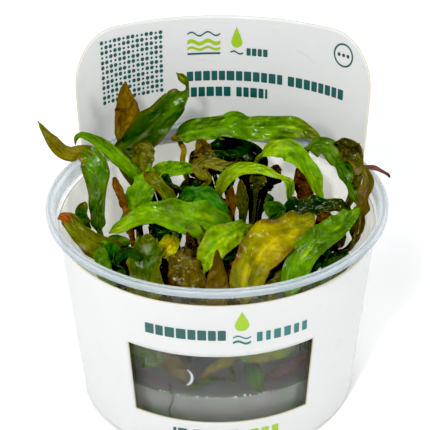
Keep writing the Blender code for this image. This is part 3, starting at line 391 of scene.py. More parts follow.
        margin="lime", fold=8, faces=[(0, -0.6, 0.8), (0.1, -1, 0.2)], route=[(-9, -5, 42, 1.5),
        (-11.6, -4.4, 49, 1.8), (-12.4, -6.4, 53.4, 3.6), (-13.4, -11, 53.4, 6), (-14.6, -14.4, 51, 5),
        (-15.6, -15.6, 48, 0.8)]),
    "rim_left": dict(slot="olive", crown="front_left", turn=220, tones="moss olive rust", margin="brown",
        change=(0.72, 0.8), wet=0.4, fold=24, wave=0.7, ripples=4, faces=[(0.1, -0.9, 0.4),
        (0.2, -0.8, 0.5)], patches=[(0.3, 0.5, 0.14, "fresh"), (0.6, 0, 0.16, "olive"),
        (0.45, -0.6, 0.1, "khaki"), (0.7, -0.8, 0.12, "khaki")], route=[(-26.4, -15, 40, 1.6),
        (-25.5, -15.6, 49.6, 2), (-25.1, -16, 53.5, 3.4), (-27.8, -17, 54.8, 6.2),
        (-31.1, -17.4, 56.1, 7.8), (-34.4, -17, 57.4, 7.8), (-37.4, -16, 59.2, 6.7),
        (-39.7, -14.4, 60.9, 5.6), (-41.4, -12.6, 62.3, 4.8), (-43.2, -11.4, 62.6, 2.8),
        (-44.8, -10.6, 61.6, 0.7)]),
    "bud_left": dict(slot="dark", crown="front_left", turn=180, tones="deep deep olive", margin="umber",
        fold=24, wave=0.4, ripples=2, faces=[(0.3, -0.9, 0.3)], patches=[(0.9, 0, 0.12, "yellow")],
        route=[(-34, -2.6, 40, 1.4), (-37, -2, 49.3, 1.7), (-38.2, 0, 52.5, 3.8), (-39.2, 1, 55.6, 4.3),
        (-38.9, 2, 57.7, 3.5), (-37.7, 3, 59.1, 0.9)]),
    "ridge_front": dict(slot="olive", crown="front_left", turn=305, tones="olive deep olive",
        margin="khaki", wet=0.6, fold=20, wave=1.1, ripples=4, faces=[(-0.2, -0.9, 0.4), (-0.1, -0.6, 0.8)],
        # the pale patch across the ridge is a painted sheen
        patches=[(0.25, 0, 0.16, "olive"), (0.66, 0, 0.2, "pale"), (0.9, 0, 0.14, "khaki")],
        route=[(-18.4, -26, 38, 1.6), (-19, -31, 45, 2.2), (-19.4, -30, 49.3, 9.9),
        (-19.8, -26, 52.2, 11.6), (-19.8, -22.6, 55.3, 11.1), (-19.5, -20, 57.3, 8.9),
        (-18.7, -17.6, 58.4, 5.6), (-17.9, -16.6, 59.1, 1.4)]),
    "green_front_left": dict(slot="green", crown="front_left", turn=240, tones="deep mid deep",
        margin="mid", wet=0.6, wave=0.4, faces=[(-0.5, -0.8, 0.4), (-0.2, -0.7, 0.7)],
        route=[(-24.4, -24, 34, 1.6), (-28.1, -27, 42.4, 1.7), (-29.2, -27, 48.4, 3.9),
        (-30.8, -25, 52.4, 5), (-31.4, -23.4, 55.3, 5), (-31.9, -22, 57.7, 3.6), (-32.2, -21, 59.3, 0.8)]),
    # dark_front: its near-black tones are painted shade, filling a dark gap between leaves
    "dark_front": dict(slot="dark", crown="front_left", turn=345, tones="night soot night", margin="soot",
        wet=0.9, ripples=2, route=[(-13.6, -17, 34, 1.5), (-13.4, -23.4, 42, 1.8), (-15.2, -25, 47, 5),
        (-15.2, -21.8, 51.4, 5.6), (-15, -19.6, 54, 0.8)]),
    "dark_right": dict(slot="dark", crown="front_right", turn=20, tones="night deep soot", margin="night",
        wet=0.8, wave=0.4, ripples=2, faces=[(-0.4, -0.6, 0.7)], route=[(28, -24, 36, 1.6),
        (29, -27, 42, 2.2), (31.4, -22.6, 47, 7.6), (34.2, -15.6, 50.4, 7.6), (35, -11, 51, 1)]),
    "low_green": dict(slot="green", crown="front_left", turn=262, tones="deep deep mid", margin="mid",
        fold=6, faces=[(-0.5, -0.9, 0.1)], route=[(-21.4, -26, 25.4, 1.6), (-20.6, -31.6, 27.6, 5),
        (-18.8, -34, 32, 8), (-17.8, -34, 36.4, 6), (-17.4, -33, 39.4, 0.8)]),
    "low_olive": dict(slot="olive", crown="front", turn=245, tones="night moss moss", margin="umber",
        faces=[(0, -0.7, 0.7), (-0.2, -1, 0.1)], route=[(-4, -24, 33, 1.6), (-10.1, -30, 34.1, 1.7),
        (-13.3, -33, 34.9, 3.3), (-15.3, -34.5, 33.3, 5.6), (-13.9, -35.4, 30.5, 6.1),
        (-11.2, -36, 27.8, 5), (-9, -36.4, 25.4, 3.1), (-7.9, -36.6, 23.1, 0.8)]),
    "low_bright": dict(slot="bright", crown="front_right", turn=305, tones="deep olive mid", margin="moss",
        faces=[(0.3, -0.9, 0.4)], route=[(22, -28.6, 30, 1.6), (20, -33, 33, 4.6), (14.4, -35.8, 33.6, 6),
        (8.6, -36.8, 33, 4.4), (5, -36.4, 32.6, 0.8)]),
    "low_mauve": dict(slot="mauve", crown="front_right", turn=345, tones="soot plum soot", margin="soot",
        fold=8, faces=[(0.4, -0.8, 0.5)], route=[(26.4, -22, 27, 1.6), (26.1, -26, 26.5, 2.3),
        (23.4, -28.6, 26, 3.1), (19.9, -31.4, 25.2, 3.4), (16.2, -33.6, 24.8, 2.5),
        (12.8, -34.8, 24.3, 0.8)]),
    "low_khaki": dict(slot="olive", crown="front_right", turn=200, tones="moss khaki brown", margin="soot",
        fold=12, wave=0.4, ripples=2, faces=[(0, -0.9, 0.4)], route=[(12, -27, 30, 1.6),
        (8.9, -32, 31.6, 2), (6.7, -33, 31, 3.1), (3.3, -34.4, 30.3, 3.6), (-0.3, -35.6, 28.8, 3.3),
        (-3.1, -36.4, 27, 2.2), (-5.1, -36.8, 24.9, 0.8)]),
    "low_dark": dict(slot="dark", crown="front_right", turn=250, tones="night deep deep", margin="night",
        fold=8, wave=0.4, ripples=2, faces=[(0.2, -0.9, 0.3)], route=[(14, -26, 28, 1.6),
        (9.5, -32, 29.2, 2.2), (9.4, -34, 26.5, 4.8), (10.3, -35.6, 23.5, 5), (11.9, -36.6, 20.8, 2.5),
        (13.1, -37, 19, 0.7)]),
    "low_flat": dict(slot="olive", crown="front", turn=270, tones="moss deep moss", margin="soot", fold=4,
        wave=0.4, ripples=2, faces=[(0, -0.4, 0.9)], route=[(2, -22, 22.6, 1.6), (4.5, -30, 20.2, 2.3),
        (1.6, -31.4, 19.9, 4.5), (-2.1, -33, 19.7, 6.2), (-5.7, -34.6, 19.8, 5.1),
        (-9.1, -35.6, 19.9, 1.1)]),
}

fillers = [  # small leaves between the others: slot, crown, turn, tones, width, face, tip, bow
    ("olive", "front_left", 80, "brown olive umber", 6.5, (0, -0.8, 0.6), (-25.4, -2.8, 57), 4),
    ("dark", "front", 140, "night deep brown", 8, (0, -1, 0.3), (-7.7, -6.9, 55), 2),
    ("dark", "front_left", 25, "night deep night", 8, (0, -1, 0.3), (-18, -7, 54.5), 2),
    ("olive", "front", 170, "soot brown olive", 7, (0.1, -1, 0.3), (-2, -12, 56), 2),
    ("dark", "front_right", 350, "night night olive", 9, (-0.2, -0.5, 0.85), (30, -13, 51), 6),
    ("olive", "front_right", 50, "soot brown night", 8, (-0.4, -0.6, 0.7), (37, -6, 52), 5),
    ("dark", "front_right", 300, "night soot night", 9, (-0.1, -0.6, 0.8), (25.5, -22, 49), 4),
    ("dark", "back", 100, "night night deep", 8, (0.2, -0.9, 0.4), (-1.5, 32, 57.5), 3),
    ("olive", "back", 150, "night soot olive", 7, (-0.2, -0.9, 0.4), (-7.5, 30, 56.5), 3),
    ("dark", "back", 80, "night soot night", 8, (0, -0.9, 0.4), (8, 32, 56), 3),
    ("dark", "back", 240, "night deep mid", 7, (-0.2, -0.8, 0.6), (1.5, 21, 57), 3),
    ("dark", "back_left", 330, "night night deep", 8, (0.3, -0.8, 0.5), (-13.5, 19, 56.5), 3),
    ("green", "back_left", 225, "night deep mid", 7, (0.2, -0.9, 0.4), (-24, 14, 55), 3),
    ("green", "front_left", 225, "night mid deep", 8, (0.1, -0.8, 0.6), (-31, -14, 54), 4),
    ("amber", "front", 310, "soot brown umber", 7, (0, -1, 0.3), (5.4, -24, 52), 3),
    ("olive", "back", 310, "soot olive brown", 5.5, (0, -1, 0.1), (13.5, 18, 59.5), 0),
    ("dark", "right", 190, "night deep mid", 8, (-0.2, -0.7, 0.7), (14, 3, 55), 4),
    ("green", "right", 230, "night mid deep", 9, (0, -0.6, 0.8), (19, -6, 54.5), 5),
    ("amber", "right", 300, "soot umber brown", 6, (-0.5, -0.8, 0.3), (33, 0, 55), 2),
    ("olive", "front_right", 200, "soot olive khaki", 7, (0, -0.8, 0.6), (12.5, -27, 50), 3),
    ("dark", "front", 250, "night soot night", 7, (0, -0.9, 0.4), (-1, -33, 47), 2),
    ("green", "front", 190, "night deep olive", 8, (0.1, -0.9, 0.4), (-13.5, -24, 49), 3),
    ("dark", "back", 20, "night soot brown", 6, (-0.3, -0.9, 0.3), (19.5, 26, 56), 2),
    ("dark", "front_left", 330, "night soot night", 11, (-0.1, -1, 0.4), (-8, -36, 29), 9),
    ("olive", "front_left", 270, "night olive night", 10, (-0.5, -1, 0.4), (-21.5, -31.4, 25), 11),
    ("dark", "front_right", 320, "night brown night", 10, (0.5, -1, 0.2), (26.5, -27.5, 27), 11),
    ("dark", "front", 230, "night night soot", 12, (0, -0.5, 0.9), (-7, -27, 24), 12),
    ("dark", "front", 330, "night night soot", 12, (0, -0.5, 0.9), (12, -26, 25), 12),
    ("green", "back_left", 141, "night deep mid", 8, (0.2, -0.5, 0.8), (-30, 22, 40), 5),
    ("dark", "back_left", 315, "night deep night", 9, (0.3, -0.4, 0.8), (-12, 6, 42), 3),
    ("olive", "back", 203, "moss olive brown", 9, (0.1, -0.6, 0.8), (-5, 16, 41), 5),
    ("green", "back", 42, "deep mid deep", 9, (-0.1, -0.6, 0.8), (17, 30, 42), 7),
    ("green", "right", 73, "night deep mid", 7, (-0.2, -0.5, 0.8), (30, 20, 41), 3),
    ("dark", "back", 294, "night deep night", 8, (-0.2, -0.5, 0.8), (12, 10, 40), 3),
    ("olive", "right", 37, "moss olive brown", 7, (-0.3, -0.4, 0.8), (33, 10, 40), 7),
    ("green", "front", 45, "deep mid deep", 8, (-0.3, -0.3, 0.8), (12, -2, 43), 7),
    ("green", "front_left", 328, "night deep mid", 7, (0.2, -0.1, 0.8), (-12, -14, 42), 7),
    ("dark", "back_left", 225, "night deep night", 9, (0.3, -0.3, 0.8), (-30, 4, 36), 3),
    ("olive", "front", 233, "moss olive brown", 9, (0.1, 0, 0.8), (-4, -20, 37), 5),
    ("green", "front_right", 207, "deep mid deep", 7, (-0.1, 0, 0.8), (10, -20, 42), 3),
    ("green", "right", 307, "night deep mid", 9, (-0.3, -0.3, 0.8), (31, -4, 41), 5),
    ("dark", "front_right", 343, "night deep night", 8, (-0.3, -0.1, 0.8), (30, -18, 40), 7),
    ("olive", "front_left", 234, "moss olive brown", 7, (0.2, -0.1, 0.8), (-28, -20, 36), 5),
    ("green", "back", 121, "deep mid deep", 9, (0, -0.6, 0.8), (-2, 36, 38), 3),
    ("green", "back_left", 90, "night deep mid", 7, (0.2, -0.5, 0.8), (-20, 28, 37), 7),
    ("dark", "front", 82, "night deep night", 9, (-0.3, -0.4, 0.8), (4, 2, 41), 5),
    ("olive", "front_left", 30, "moss olive brown", 7, (0.3, -0.2, 0.8), (-8, -2, 36), 7),
    ("green", "right", 107, "deep mid deep", 7, (-0.3, -0.5, 0.8), (22, 14, 38), 3),
    ("dark", "back", 165, "night moss night", 9, (0, -0.9, 0.4), (-8, 34, 57.3), 1),
    ("olive", "back", 140, "moss brown amber", 6, (0.2, -0.9, 0.3), (-6.2, 36, 60.7), 1),
    ("dark", "back", 190, "night night moss", 11, (0, -0.7, 0.7), (-11.6, 24, 50.8), 1),
    ("dark", "back", 215, "night moss night", 10, (0.1, -0.7, 0.7), (-8.6, 22, 49.8), 2),
    ("dark", "back", 320, "night moss night", 9, (0.1, -1, 0.3), (15.4, 24, 55.4), 3),
    ("dark", "front_left", 268, "night deep night", 11, (-0.2, -0.9, 0.4), (-28.4, -27, 56.2), 1),
    ("green", "front_left", 232, "deep emerald mid", 9, (-0.2, -0.8, 0.6), (-33.6, -23, 55.7), 1),
    ("olive", "front_left", 245, "night moss night", 13, (-0.5, -0.7, 0.5), (-32.5, -20, 44), 6),
    ("dark", "front_left", 285, "night night moss", 12, (-0.2, -0.8, 0.5), (-22, -30, 43), 6),
]

leafBuild = dict(
    stalkRing=4.4,  # mm from the crown's axis to a stalk's foot
    stalkFoot=21.2,  # mm above the table
    stalkWidth=2.4,  # the blade starts where the route gets wider than this, mm
    thick=0.26,  # mm
    across=20,
    along=64,
    ribSides=8,
    ribSteps=36,
    roll=0.3,  # how much a blade wanders round its midrib, in radians
    uneven=0.3,  # how much the two halves of a blade differ in width
    ruffle=1.5,  # height of the waves along a margin, against the leaf's own wave
    dents=0.7,  # mm
    leastWidth=0.35,  # of the route, mm
    leastHalf=0.18,  # of the finished blade, mm
    ribSink=0.25,  # how far the rib lies under the blade, mm
    lead=0.8,  # how far before the first wide point the blade starts, in points of the route
    veinStep=7,  # mm along the blade for one unit of its vein pattern
    groove=0.12,  # mm, over the midrib
    grooveWidth=0.4,  # mm
    stalkMost=0.95,  # thickest stalk's radius, mm
    ribReach=0.45,  # share of the blade that the stalk runs on under
    fillerFoot=24.0,  # mm above the table
    fillerStalk=1.4,  # mm
    fillerTip=0.7,  # mm
    fillerShares=((0.3, 0), (0.45, 0), (0.58, 0.3), (0.68, 0.8), (0.78, 1.0), (0.9, 0.75), (1.0, 0.08)),
    fillerSeed=60,
)

flecks = {  # darker and lighter tones that mottle the leaves of a slot
    "bright": ("deep", "lime"),
    "green": ("deep", "fresh"),
    "yellow": ("mid", "lime"),
    "dark": ("night", "deep"),
    "olive": ("night", "khaki"),
    "amber": ("soot", "amber"),
    "mauve": ("umber", "mauve"),
}

mottle = dict(  # how strongly each kind of mark shows on a blade
    blots=0.5,
    paleBlots=0.5,
    spots=0.22,
    paleSpots=0.25,
    patch=0.9,
    margin=0.7,
)


def wander(number, strand, t):  # smooth wandering value of one leaf, about -0.6 to 0.6
    return noise.noise(Vector((t, number * 1.37 + 0.31, strand * 2.9)))


def routePoint(points, place):  # Catmull-Rom through the route's points
    stretch = min(int(place), len(points) - 2)
    t = place - stretch
    before = points[max(stretch - 1, 0)]
    start, end = points[stretch], points[stretch + 1]
    after = points[min(stretch + 2, len(points) - 1)]
    return 0.5 * (
        2.0 * start
        + (end - before) * t
        + (2.0 * before - 5.0 * start + 4.0 * end - after) * t ** 2
        + (3.0 * start - before - 3.0 * end + after) * t ** 3
    )


def lookAt(faces, share):  # the way the upper face looks, part way along the blade
    place = share * (len(faces) - 1)
    k = min(int(place), max(len(faces) - 2, 0))
    first = Vector(faces[k]).normalized()
    second = Vector(faces[min(k + 1, len(faces) - 1)]).normalized()
    return first.lerp(second, place - k)


def bladeFrame(points, place, firstBlade, faces):  # a point of the route, its side and its upper face
    last = len(points) - 1.0
    here = routePoint(points, place)
    step = 0.04
    ahead = routePoint(points, min(place + step, last - 0.0001))
    behind = routePoint(points, max(place - step, 0.0))
    way = (ahead - behind).xyz.normalized()
    share = max(0.0, (place - firstBlade + 1) / (last - firstBlade + 1))
    face = lookAt(faces, share)
    side = way.cross(face).normalized()
    return here, side, side.cross(way).normalized()


def leafTint(leaf, number, u, v):  # colour of one spot: u across from -1 to 1, v along from 0 to 1
    first, second, third = [tones[name] for name in leaf["tones"].split()]
    colour = mixTone(first, second, smooth(0.0, 0.45, v))
    colour = mixTone(colour, third, smooth(*leaf["change"], v + 0.15 * wander(number, 20, u * 2)))
    dark, light = [tones[name] for name in leaf["flecks"] or flecks[leaf["slot"]]]
    dark = mixTone(mixTone(colour, (0, 0, 0), 0.6), dark, 0.4)
    light = mixTone(tuple(c * 1.6 for c in colour), light, 0.4)
    spot = Vector((u * 1.3, v * 5.0, number * 3.7))
    fine = Vector((u * 4.0, v * 18.0, number * 2.3))
    marks = (  # kind, tone, where it starts to show, and how much of it is here
        ("blots", dark, 0.05, noise.fractal(spot, 0.9, 2.0, 3)),
        ("paleBlots", light, 0.0, noise.fractal(spot * 1.25 + Vector((9, 4, 2)), 0.9, 2.0, 3)),
        ("spots", dark, 0.1, noise.fractal(fine, 0.9, 2.0, 2)),
        ("paleSpots", light, 0.15, noise.noise(fine * 1.3 + Vector((3, 8, 5)))),
    )
    for kind, tone, low, amount in marks:
        colour = mixTone(colour, tone, mottle[kind] * smooth(low, 0.5, amount))
    for along, across, size, tone in leaf["patches"]:
        away = math.hypot((v - along) * 1.6, (u - across) * 0.6) / size
        away += 0.35 * noise.noise(Vector((v * 7, u * 3, number + 4)))
        colour = mixTone(colour, tones[tone], mottle["patch"] * (1 - smooth(0.5, 1.15, away)))
    edge = smooth(0.82, 1.0, abs(u) + 0.3 * noise.noise(Vector((v * 8, u, number))))
    colour = mixTone(colour, tones[leaf["margin"]], edge * mottle["margin"])
    shade = 1.0 + 0.3 * noise.fractal(Vector((u * 3, v * 12.0, number * 3.7)), 0.8, 2.0, 3)
    shade *= 1.0 + 0.2 * noise.noise(Vector((u * 8.0, v * 2.5, number)))
    warm = 0.14 * noise.noise(Vector((u * 1.1 + 7, v * 3.0, number * 2.1)))
    return (colour[0] * shade * (1 + warm), colour[1] * shade, colour[2] * shade * (1 - warm), 1.0)


def thicken(bm, thick):  # gives an open sheet its other side, and closes the rim between them
    bmesh.ops.recalc_face_normals(bm, faces=bm.faces)
    bm.normal_update()
    copied = bmesh.ops.duplicate(bm, geom=bm.verts[:] + bm.edges[:] + bm.faces[:])["geom"]
    for vert in [part for part in copied if isinstance(part, bmesh.types.BMVert)]:
        vert.co -= vert.normal * thick
    bmesh.ops.reverse_faces(bm, faces=[part for part in copied if isinstance(part, bmesh.types.BMFace)])
    bmesh.ops.bridge_loops(bm, edges=[edge for edge in bm.edges if edge.is_boundary])
    bmesh.ops.recalc_face_normals(bm, faces=bm.faces)


def growLeaf(name, leaf, number, material, nodes=()):
    turn = math.radians(leaf["turn"])
    x, y = crowns[leaf["crown"]]
    ring = leafBuild["stalkRing"]
    foot = (x + ring * math.cos(turn), y + ring * math.sin(turn), leafBuild["stalkFoot"], leaf["route"][0][3])
    points = [Vector(point) * mm for point in [foot] + leaf["route"]]
    firstBlade = next(k for k, p in enumerate(points) if p.w > leafBuild["stalkWidth"] * mm)
    last = len(points) - 1.0
    start = firstBlade - leafBuild["lead"]
    bladeLength = sum((a.xyz - b.xyz).length for a, b in zip(points[firstBlade:], points[firstBlade - 1:]))
    faces = leaf["faces"]
    fold = math.radians(leaf["fold"])
    curl = leaf["curl"]
    wet = leaf["wet"]

    bm = bmesh.new()
    tint = bm.verts.layers.float_color.new("tint")
    spot = bm.verts.layers.float_vector.new("spot")
    across, along = leafBuild["across"], leafBuild["along"]

    # The blade: a flat grid laid along the route, folded at the midrib, with wavy margins
    bmesh.ops.create_grid(bm, x_segments=across, y_segments=along, size=1.0)
    for vert in bm.verts:
        u, v = vert.co.x, (vert.co.y + 1) / 2
        wing = 1 if u > 0 else -1
        place = start + (last - start) * v
        here, side, face = bladeFrame(points, place, firstBlade, faces)
        roll = leafBuild["roll"] * wander(number, 1, v * 2.3)
        cosine, sine = math.cos(roll), math.sin(roll)
        side, face = side * cosine + face * sine, face * cosine - side * sine
        half = max(here.w, leafBuild["leastWidth"] * mm) / 2
        lopsided = leafBuild["uneven"] * wander(number, 3 + wing, v * 3.4)
        half *= 1 + lopsided + 0.1 * wander(number, 6 + wing, v * 13)
        half *= smooth(-0.02, 0.12, v) * 0.98 + 0.02
        half *= 1 - smooth(0.93, 1.0, v) * 0.9
        half = max(half, leafBuild["leastHalf"] * mm)
        size = min(1.0, half / (3 * mm))
        bend = curl * abs(u) * (0.6 + 1.6 * wander(number, 8, v * 2.2)) + fold * min(1.0, abs(u) * 4)
        reach = half * u * math.cos(bend * 0.8)
        rise = half * abs(u) * math.sin(bend * 0.8)
        phase = 2 * math.pi * (leaf["ripples"] * v + 0.5 * wander(number, 10, v * 2.5)) + number * 1.7 + wing
        ruffle = math.sin(phase) * (0.8 + 0.8 * wander(number, 12 + wing, v * 4)) * smooth(0.0, 0.15, v)
        rise += leafBuild["ruffle"] * leaf["wave"] * mm * ruffle * abs(u) ** 1.8 * size
        dent = noise.noise(Vector((u * 1.5, v * 7, number * 5.1)))
        dent += 0.4 * noise.noise(Vector((u * 4, v * 20, number)))
        groove = -leafBuild["groove"] * mm * math.exp(-((u * half / (leafBuild["grooveWidth"] * mm)) ** 2))
        rise += (dent * leafBuild["dents"] * mm + groove) * size
        vert.co = here.xyz + side * reach + face * rise
        vert[tint] = leafTint(leaf, number, u, v)
        vert[spot] = (u, v * bladeLength / (leafBuild["veinStep"] * mm), wet)
    thicken(bm, leafBuild["thick"] * mm)

    # The stalk, which runs on under the blade and thins out there
    sides, steps = leafBuild["ribSides"], leafBuild["ribSteps"]
    grid = bmesh.ops.create_grid(bm, x_segments=sides, y_segments=steps, size=1.0)
    stalkTone = tones[leaf["stalk"]]
    bladeTone = tones[leaf["tones"].split()[1]]
    for vert in grid["verts"]:
        around, v = math.pi * vert.co.x, (vert.co.y + 1) / 2
        place = (start + (last - start) * leafBuild["ribReach"]) * v
        here, side, face = bladeFrame(points, place, firstBlade, faces)
        under = max(0.0, (place - start) / (last - start))
        radius = min(here.w / 2, leafBuild["stalkMost"] * mm)
        radius *= 1 - smooth(0.0, leafBuild["ribReach"], under) * 0.85
        sink = -(radius * 0.9 + leafBuild["ribSink"] * mm) * smooth(0.0, 0.12, under)
        vert.co = here.xyz + side * (radius * math.sin(around)) + face * (radius * math.cos(around) + sink)
        colour = mixTone(stalkTone, bladeTone, smooth(-0.1, 0.35, under))
        shade = 1 + 0.5 * noise.noise(Vector((math.sin(around) * 0.6, v * 14, number)))
        vert[tint] = (*(c * shade for c in colour), 1.0)
        vert[spot] = (0.0, v * 12, wet)
    bmesh.ops.remove_doubles(bm, verts=grid["verts"], dist=2 * weld)
    rims = [edge for edge in bm.edges if edge.is_boundary]
    bmesh.ops.holes_fill(bm, edges=rims, sides=0)
    return settle(keep(name, bm, [material]), "leaf_" + leaf["slot"], *nodes)


def fillerLeaf(slot, crown, turn, toneNames, width, face, tip, bow):  # a route from the crown up to a tip
    x, y = crowns[crown]
    ring = leafBuild["stalkRing"]
    angle = math.radians(turn)
    foot = Vector((x + ring * math.cos(angle), y + ring * math.sin(angle), leafBuild["fillerFoot"]))
    tip = Vector(tip)
    top = foot.lerp(tip, 0.3)
    top.z = tip.z + bow
    route = []
    for t, share in leafBuild["fillerShares"]:
        point = foot * (1 - t) ** 2 + top * 2 * t * (1 - t) + tip * t ** 2
        wide = max(leafBuild["fillerStalk"], width * share) if t < 1 else leafBuild["fillerTip"]
        route.append((*point, wide))
    return dict(slot=slot, crown=crown, turn=turn, tones=toneNames, margin=toneNames.split()[2], fold=14,
        wave=0.6, ripples=3, faces=[face], route=route)


leafSkin = dict(  # the scales of its noises are per metre
    speckle=1100.0,
    blotch=260.0,
    sway=240.0,
    film=110.0,
    beads=480.0,
    beadPatches=90.0,
    longVeins=3.3,  # on each half of the blade
    crossVeins=5.0,
    slant=1.8,
    relief=0.00028,  # metres
)


def leafFinish(name):
    skin = leafSkin
    finish = Finish(name)
    tint = finish.node("ShaderNodeAttribute", {"attribute_name": "tint"}, output="Color")
    spot = finish.node("ShaderNodeAttribute", {"attribute_name": "spot"}, output="Vector")
    u, v, wet = finish.axes(spot)
    place = finish.place()
    speckle = finish.noise(place, skin["speckle"], 4.0, 0.6)
    blotch = finish.noise(place, skin["blotch"], 4.0, 0.6)
    sway = (finish.noise(place, skin["sway"], 2.0) - 0.5) * 0.16
    side = u.math("ABSOLUTE")
    # Long veins follow the margin, and fine cross veins run out to it at a slant
    longVeins = ((side + sway) * skin["longVeins"]).math("PINGPONG", 0.5) * 2.0
    longVeins = 1 - longVeins.between(0.0, 0.16)
    crossVeins = (v * skin["crossVeins"] - side * skin["slant"] + sway * 6.0).math("PINGPONG", 0.5) * 2.0
    crossVeins = 1 - crossVeins.between(0.0, 0.3)
    veins = longVeins * 0.8 + crossVeins * 0.35
    midrib = 1 - side.between(0.01, 0.07)
    paler = finish.node("ShaderNodeHueSaturation", None, {"Value": 1.55, "Color": tint})
    darker = finish.node("ShaderNodeHueSaturation", None, {"Value": 0.5, "Color": tint})
    colour = finish.mix(blotch.between(0.38, 0.68) * 0.6, tint, darker)
    colour = finish.mix(veins * 0.22, colour, paler)
    colour = finish.mix(speckle.between(0.5, 0.72) * 0.35, colour, paler)
    colour = finish.mix(midrib * 0.3, colour, paler)
    film = finish.noise(place, skin["film"], 3.0).between(0.66 - wet * 0.4, 0.74 - wet * 0.4)
    # Beads of wet on parts of the blade catch the light
    cells = {"Vector": place, "Scale": skin["beads"]}
    beads = 1 - finish.node("ShaderNodeTexVoronoi", {"feature": "F1"}, cells, "Distance").between(0.08, 0.2)
    beads = beads * finish.noise(place, skin["beadPatches"], 1.0).between(0.6, 0.66)
    pillow = (v * 2.2 - side * 1.6 + sway * 8.0).math("PINGPONG", 0.5) * 2.0
    height = pillow * 0.9 + (1 - veins) * 0.25 + speckle * 0.1 + blotch * 1.1 + beads * 1.6
    finish.set(
        Base_Color=colour,
        Roughness=0.42 - film * 0.3 - beads * 0.2,
        Normal=finish.bump(height, skin["relief"], 0.7),
        Coat_Weight=film * 0.3,
        Coat_Roughness=0.04,
        Coat_IOR=1.35,
        Specular_IOR_Level=0.22,
        Subsurface_Weight=0.1,
        Subsurface_Radius=(0.5, 1.0, 0.05),
        Subsurface_Scale=0.0012,
    )
    return finish.material


# The cup: one turned wall with a foot, a stacking ledge and a flanged rim
cup = dict(
    steps=180,
    footRadius=39.2,  # mm, at the table
    slope=0.1009,  # how much the wall widens per mm of height
    wall=0.9,
    ledge=55.2,
    collar=57.7,  # from here up the plastic is milky
    rimTop=61.5,
    rimRadius=49.0,
    groove=(47.45, 48.15),  # radii of the rim's groove, mm
    step=(45.5, 46.2),  # radii of the step inside it, mm
    flangeSide=48.7,
    windowShade=(32.0, 36.5),  # degrees from the window's middle, where the wall gets painted shade
    windowMiddle=1.25,
    looks=[  # name, tone, clearness, alpha, roughness, and depth of the dips in mm
        ("clearPlastic", (0.93, 0.965, 0.975), 1.0, 0.08, 0.0, 0.01),
        ("milkyRim", (0.8, 0.87, 0.9), 0.5, 0.6, 0.1, 0.007),
        # painted shade: a darker milky tone for the rim's groove, its step and the flange's side
        ("shadedMilkyRim", (0.46, 0.55, 0.62), 0.5, 0.62, 0.1, 0.007),
        # painted shade: the dark tint of the wall beside the window
        ("windowShadePlastic", (0.35, 0.34, 0.28), 1.0, 0.5, 0.0, 0.01),
    ],
)


def wallOut(height):
    return cup["footRadius"] + cup["slope"] * height


def rounded(points, parts=4):  # points are radius, height and rounding; corners become arcs
    chain = []
    for k, (r, z, soft) in enumerate(points):
        here = Vector((r, z))
        if soft == 0:
            chain.append(here)
            continue
        before, after = Vector(points[k - 1][:2]), Vector(points[k + 1][:2])
        soft = min(soft, (before - here).length * 0.45, (after - here).length * 0.45)
        first = here + (before - here).normalized() * soft
        third = here + (after - here).normalized() * soft
        for step in range(parts + 1):
            t = step / parts
            chain.append(first * (1 - t) ** 2 + here * 2 * t * (1 - t) + third * t ** 2)
    return chain


def spinProfile(name, points, steps, materials):  # points in mm, spun round the z axis
    bm = bmesh.new()
    verts = [bm.verts.new((p.x * mm, 0, p.y * mm)) for p in rounded(points)]
    edges = [bm.edges.new(pair) for pair in zip(verts, verts[1:])]
    fullTurn = dict(cent=(0, 0, 0), axis=(0, 0, 1), angle=2 * math.pi)
    bmesh.ops.spin(bm, geom=verts + edges, steps=steps, use_merge=True, **fullTurn)
    bmesh.ops.remove_doubles(bm, verts=bm.verts, dist=weld)
    bmesh.ops.recalc_face_normals(bm, faces=bm.faces)
    return keep(name, bm, materials)


def cupFinish(name, tone, clear, alpha, rough, dips):
    finish = Finish(name)
    place = finish.place()
    streaks = finish.noise(finish.place((1.0, 1.0, 3.0)), 40.0, 2.0)
    smudge = finish.noise(place, 45.0, 3.0)
    dull = tuple(c * 0.93 for c in tone)
    finish.set(
        Base_Color=finish.mix(smudge.between(0.4, 0.7), tone, dull),
        Transmission_Weight=clear,
        Alpha=alpha,
        IOR=1.49,
        Roughness=rough + smudge.between(0.5, 0.75) * rough * 0.3,
        Normal=finish.bump(streaks, dips * mm, 0.5),
    )
    return finish.material


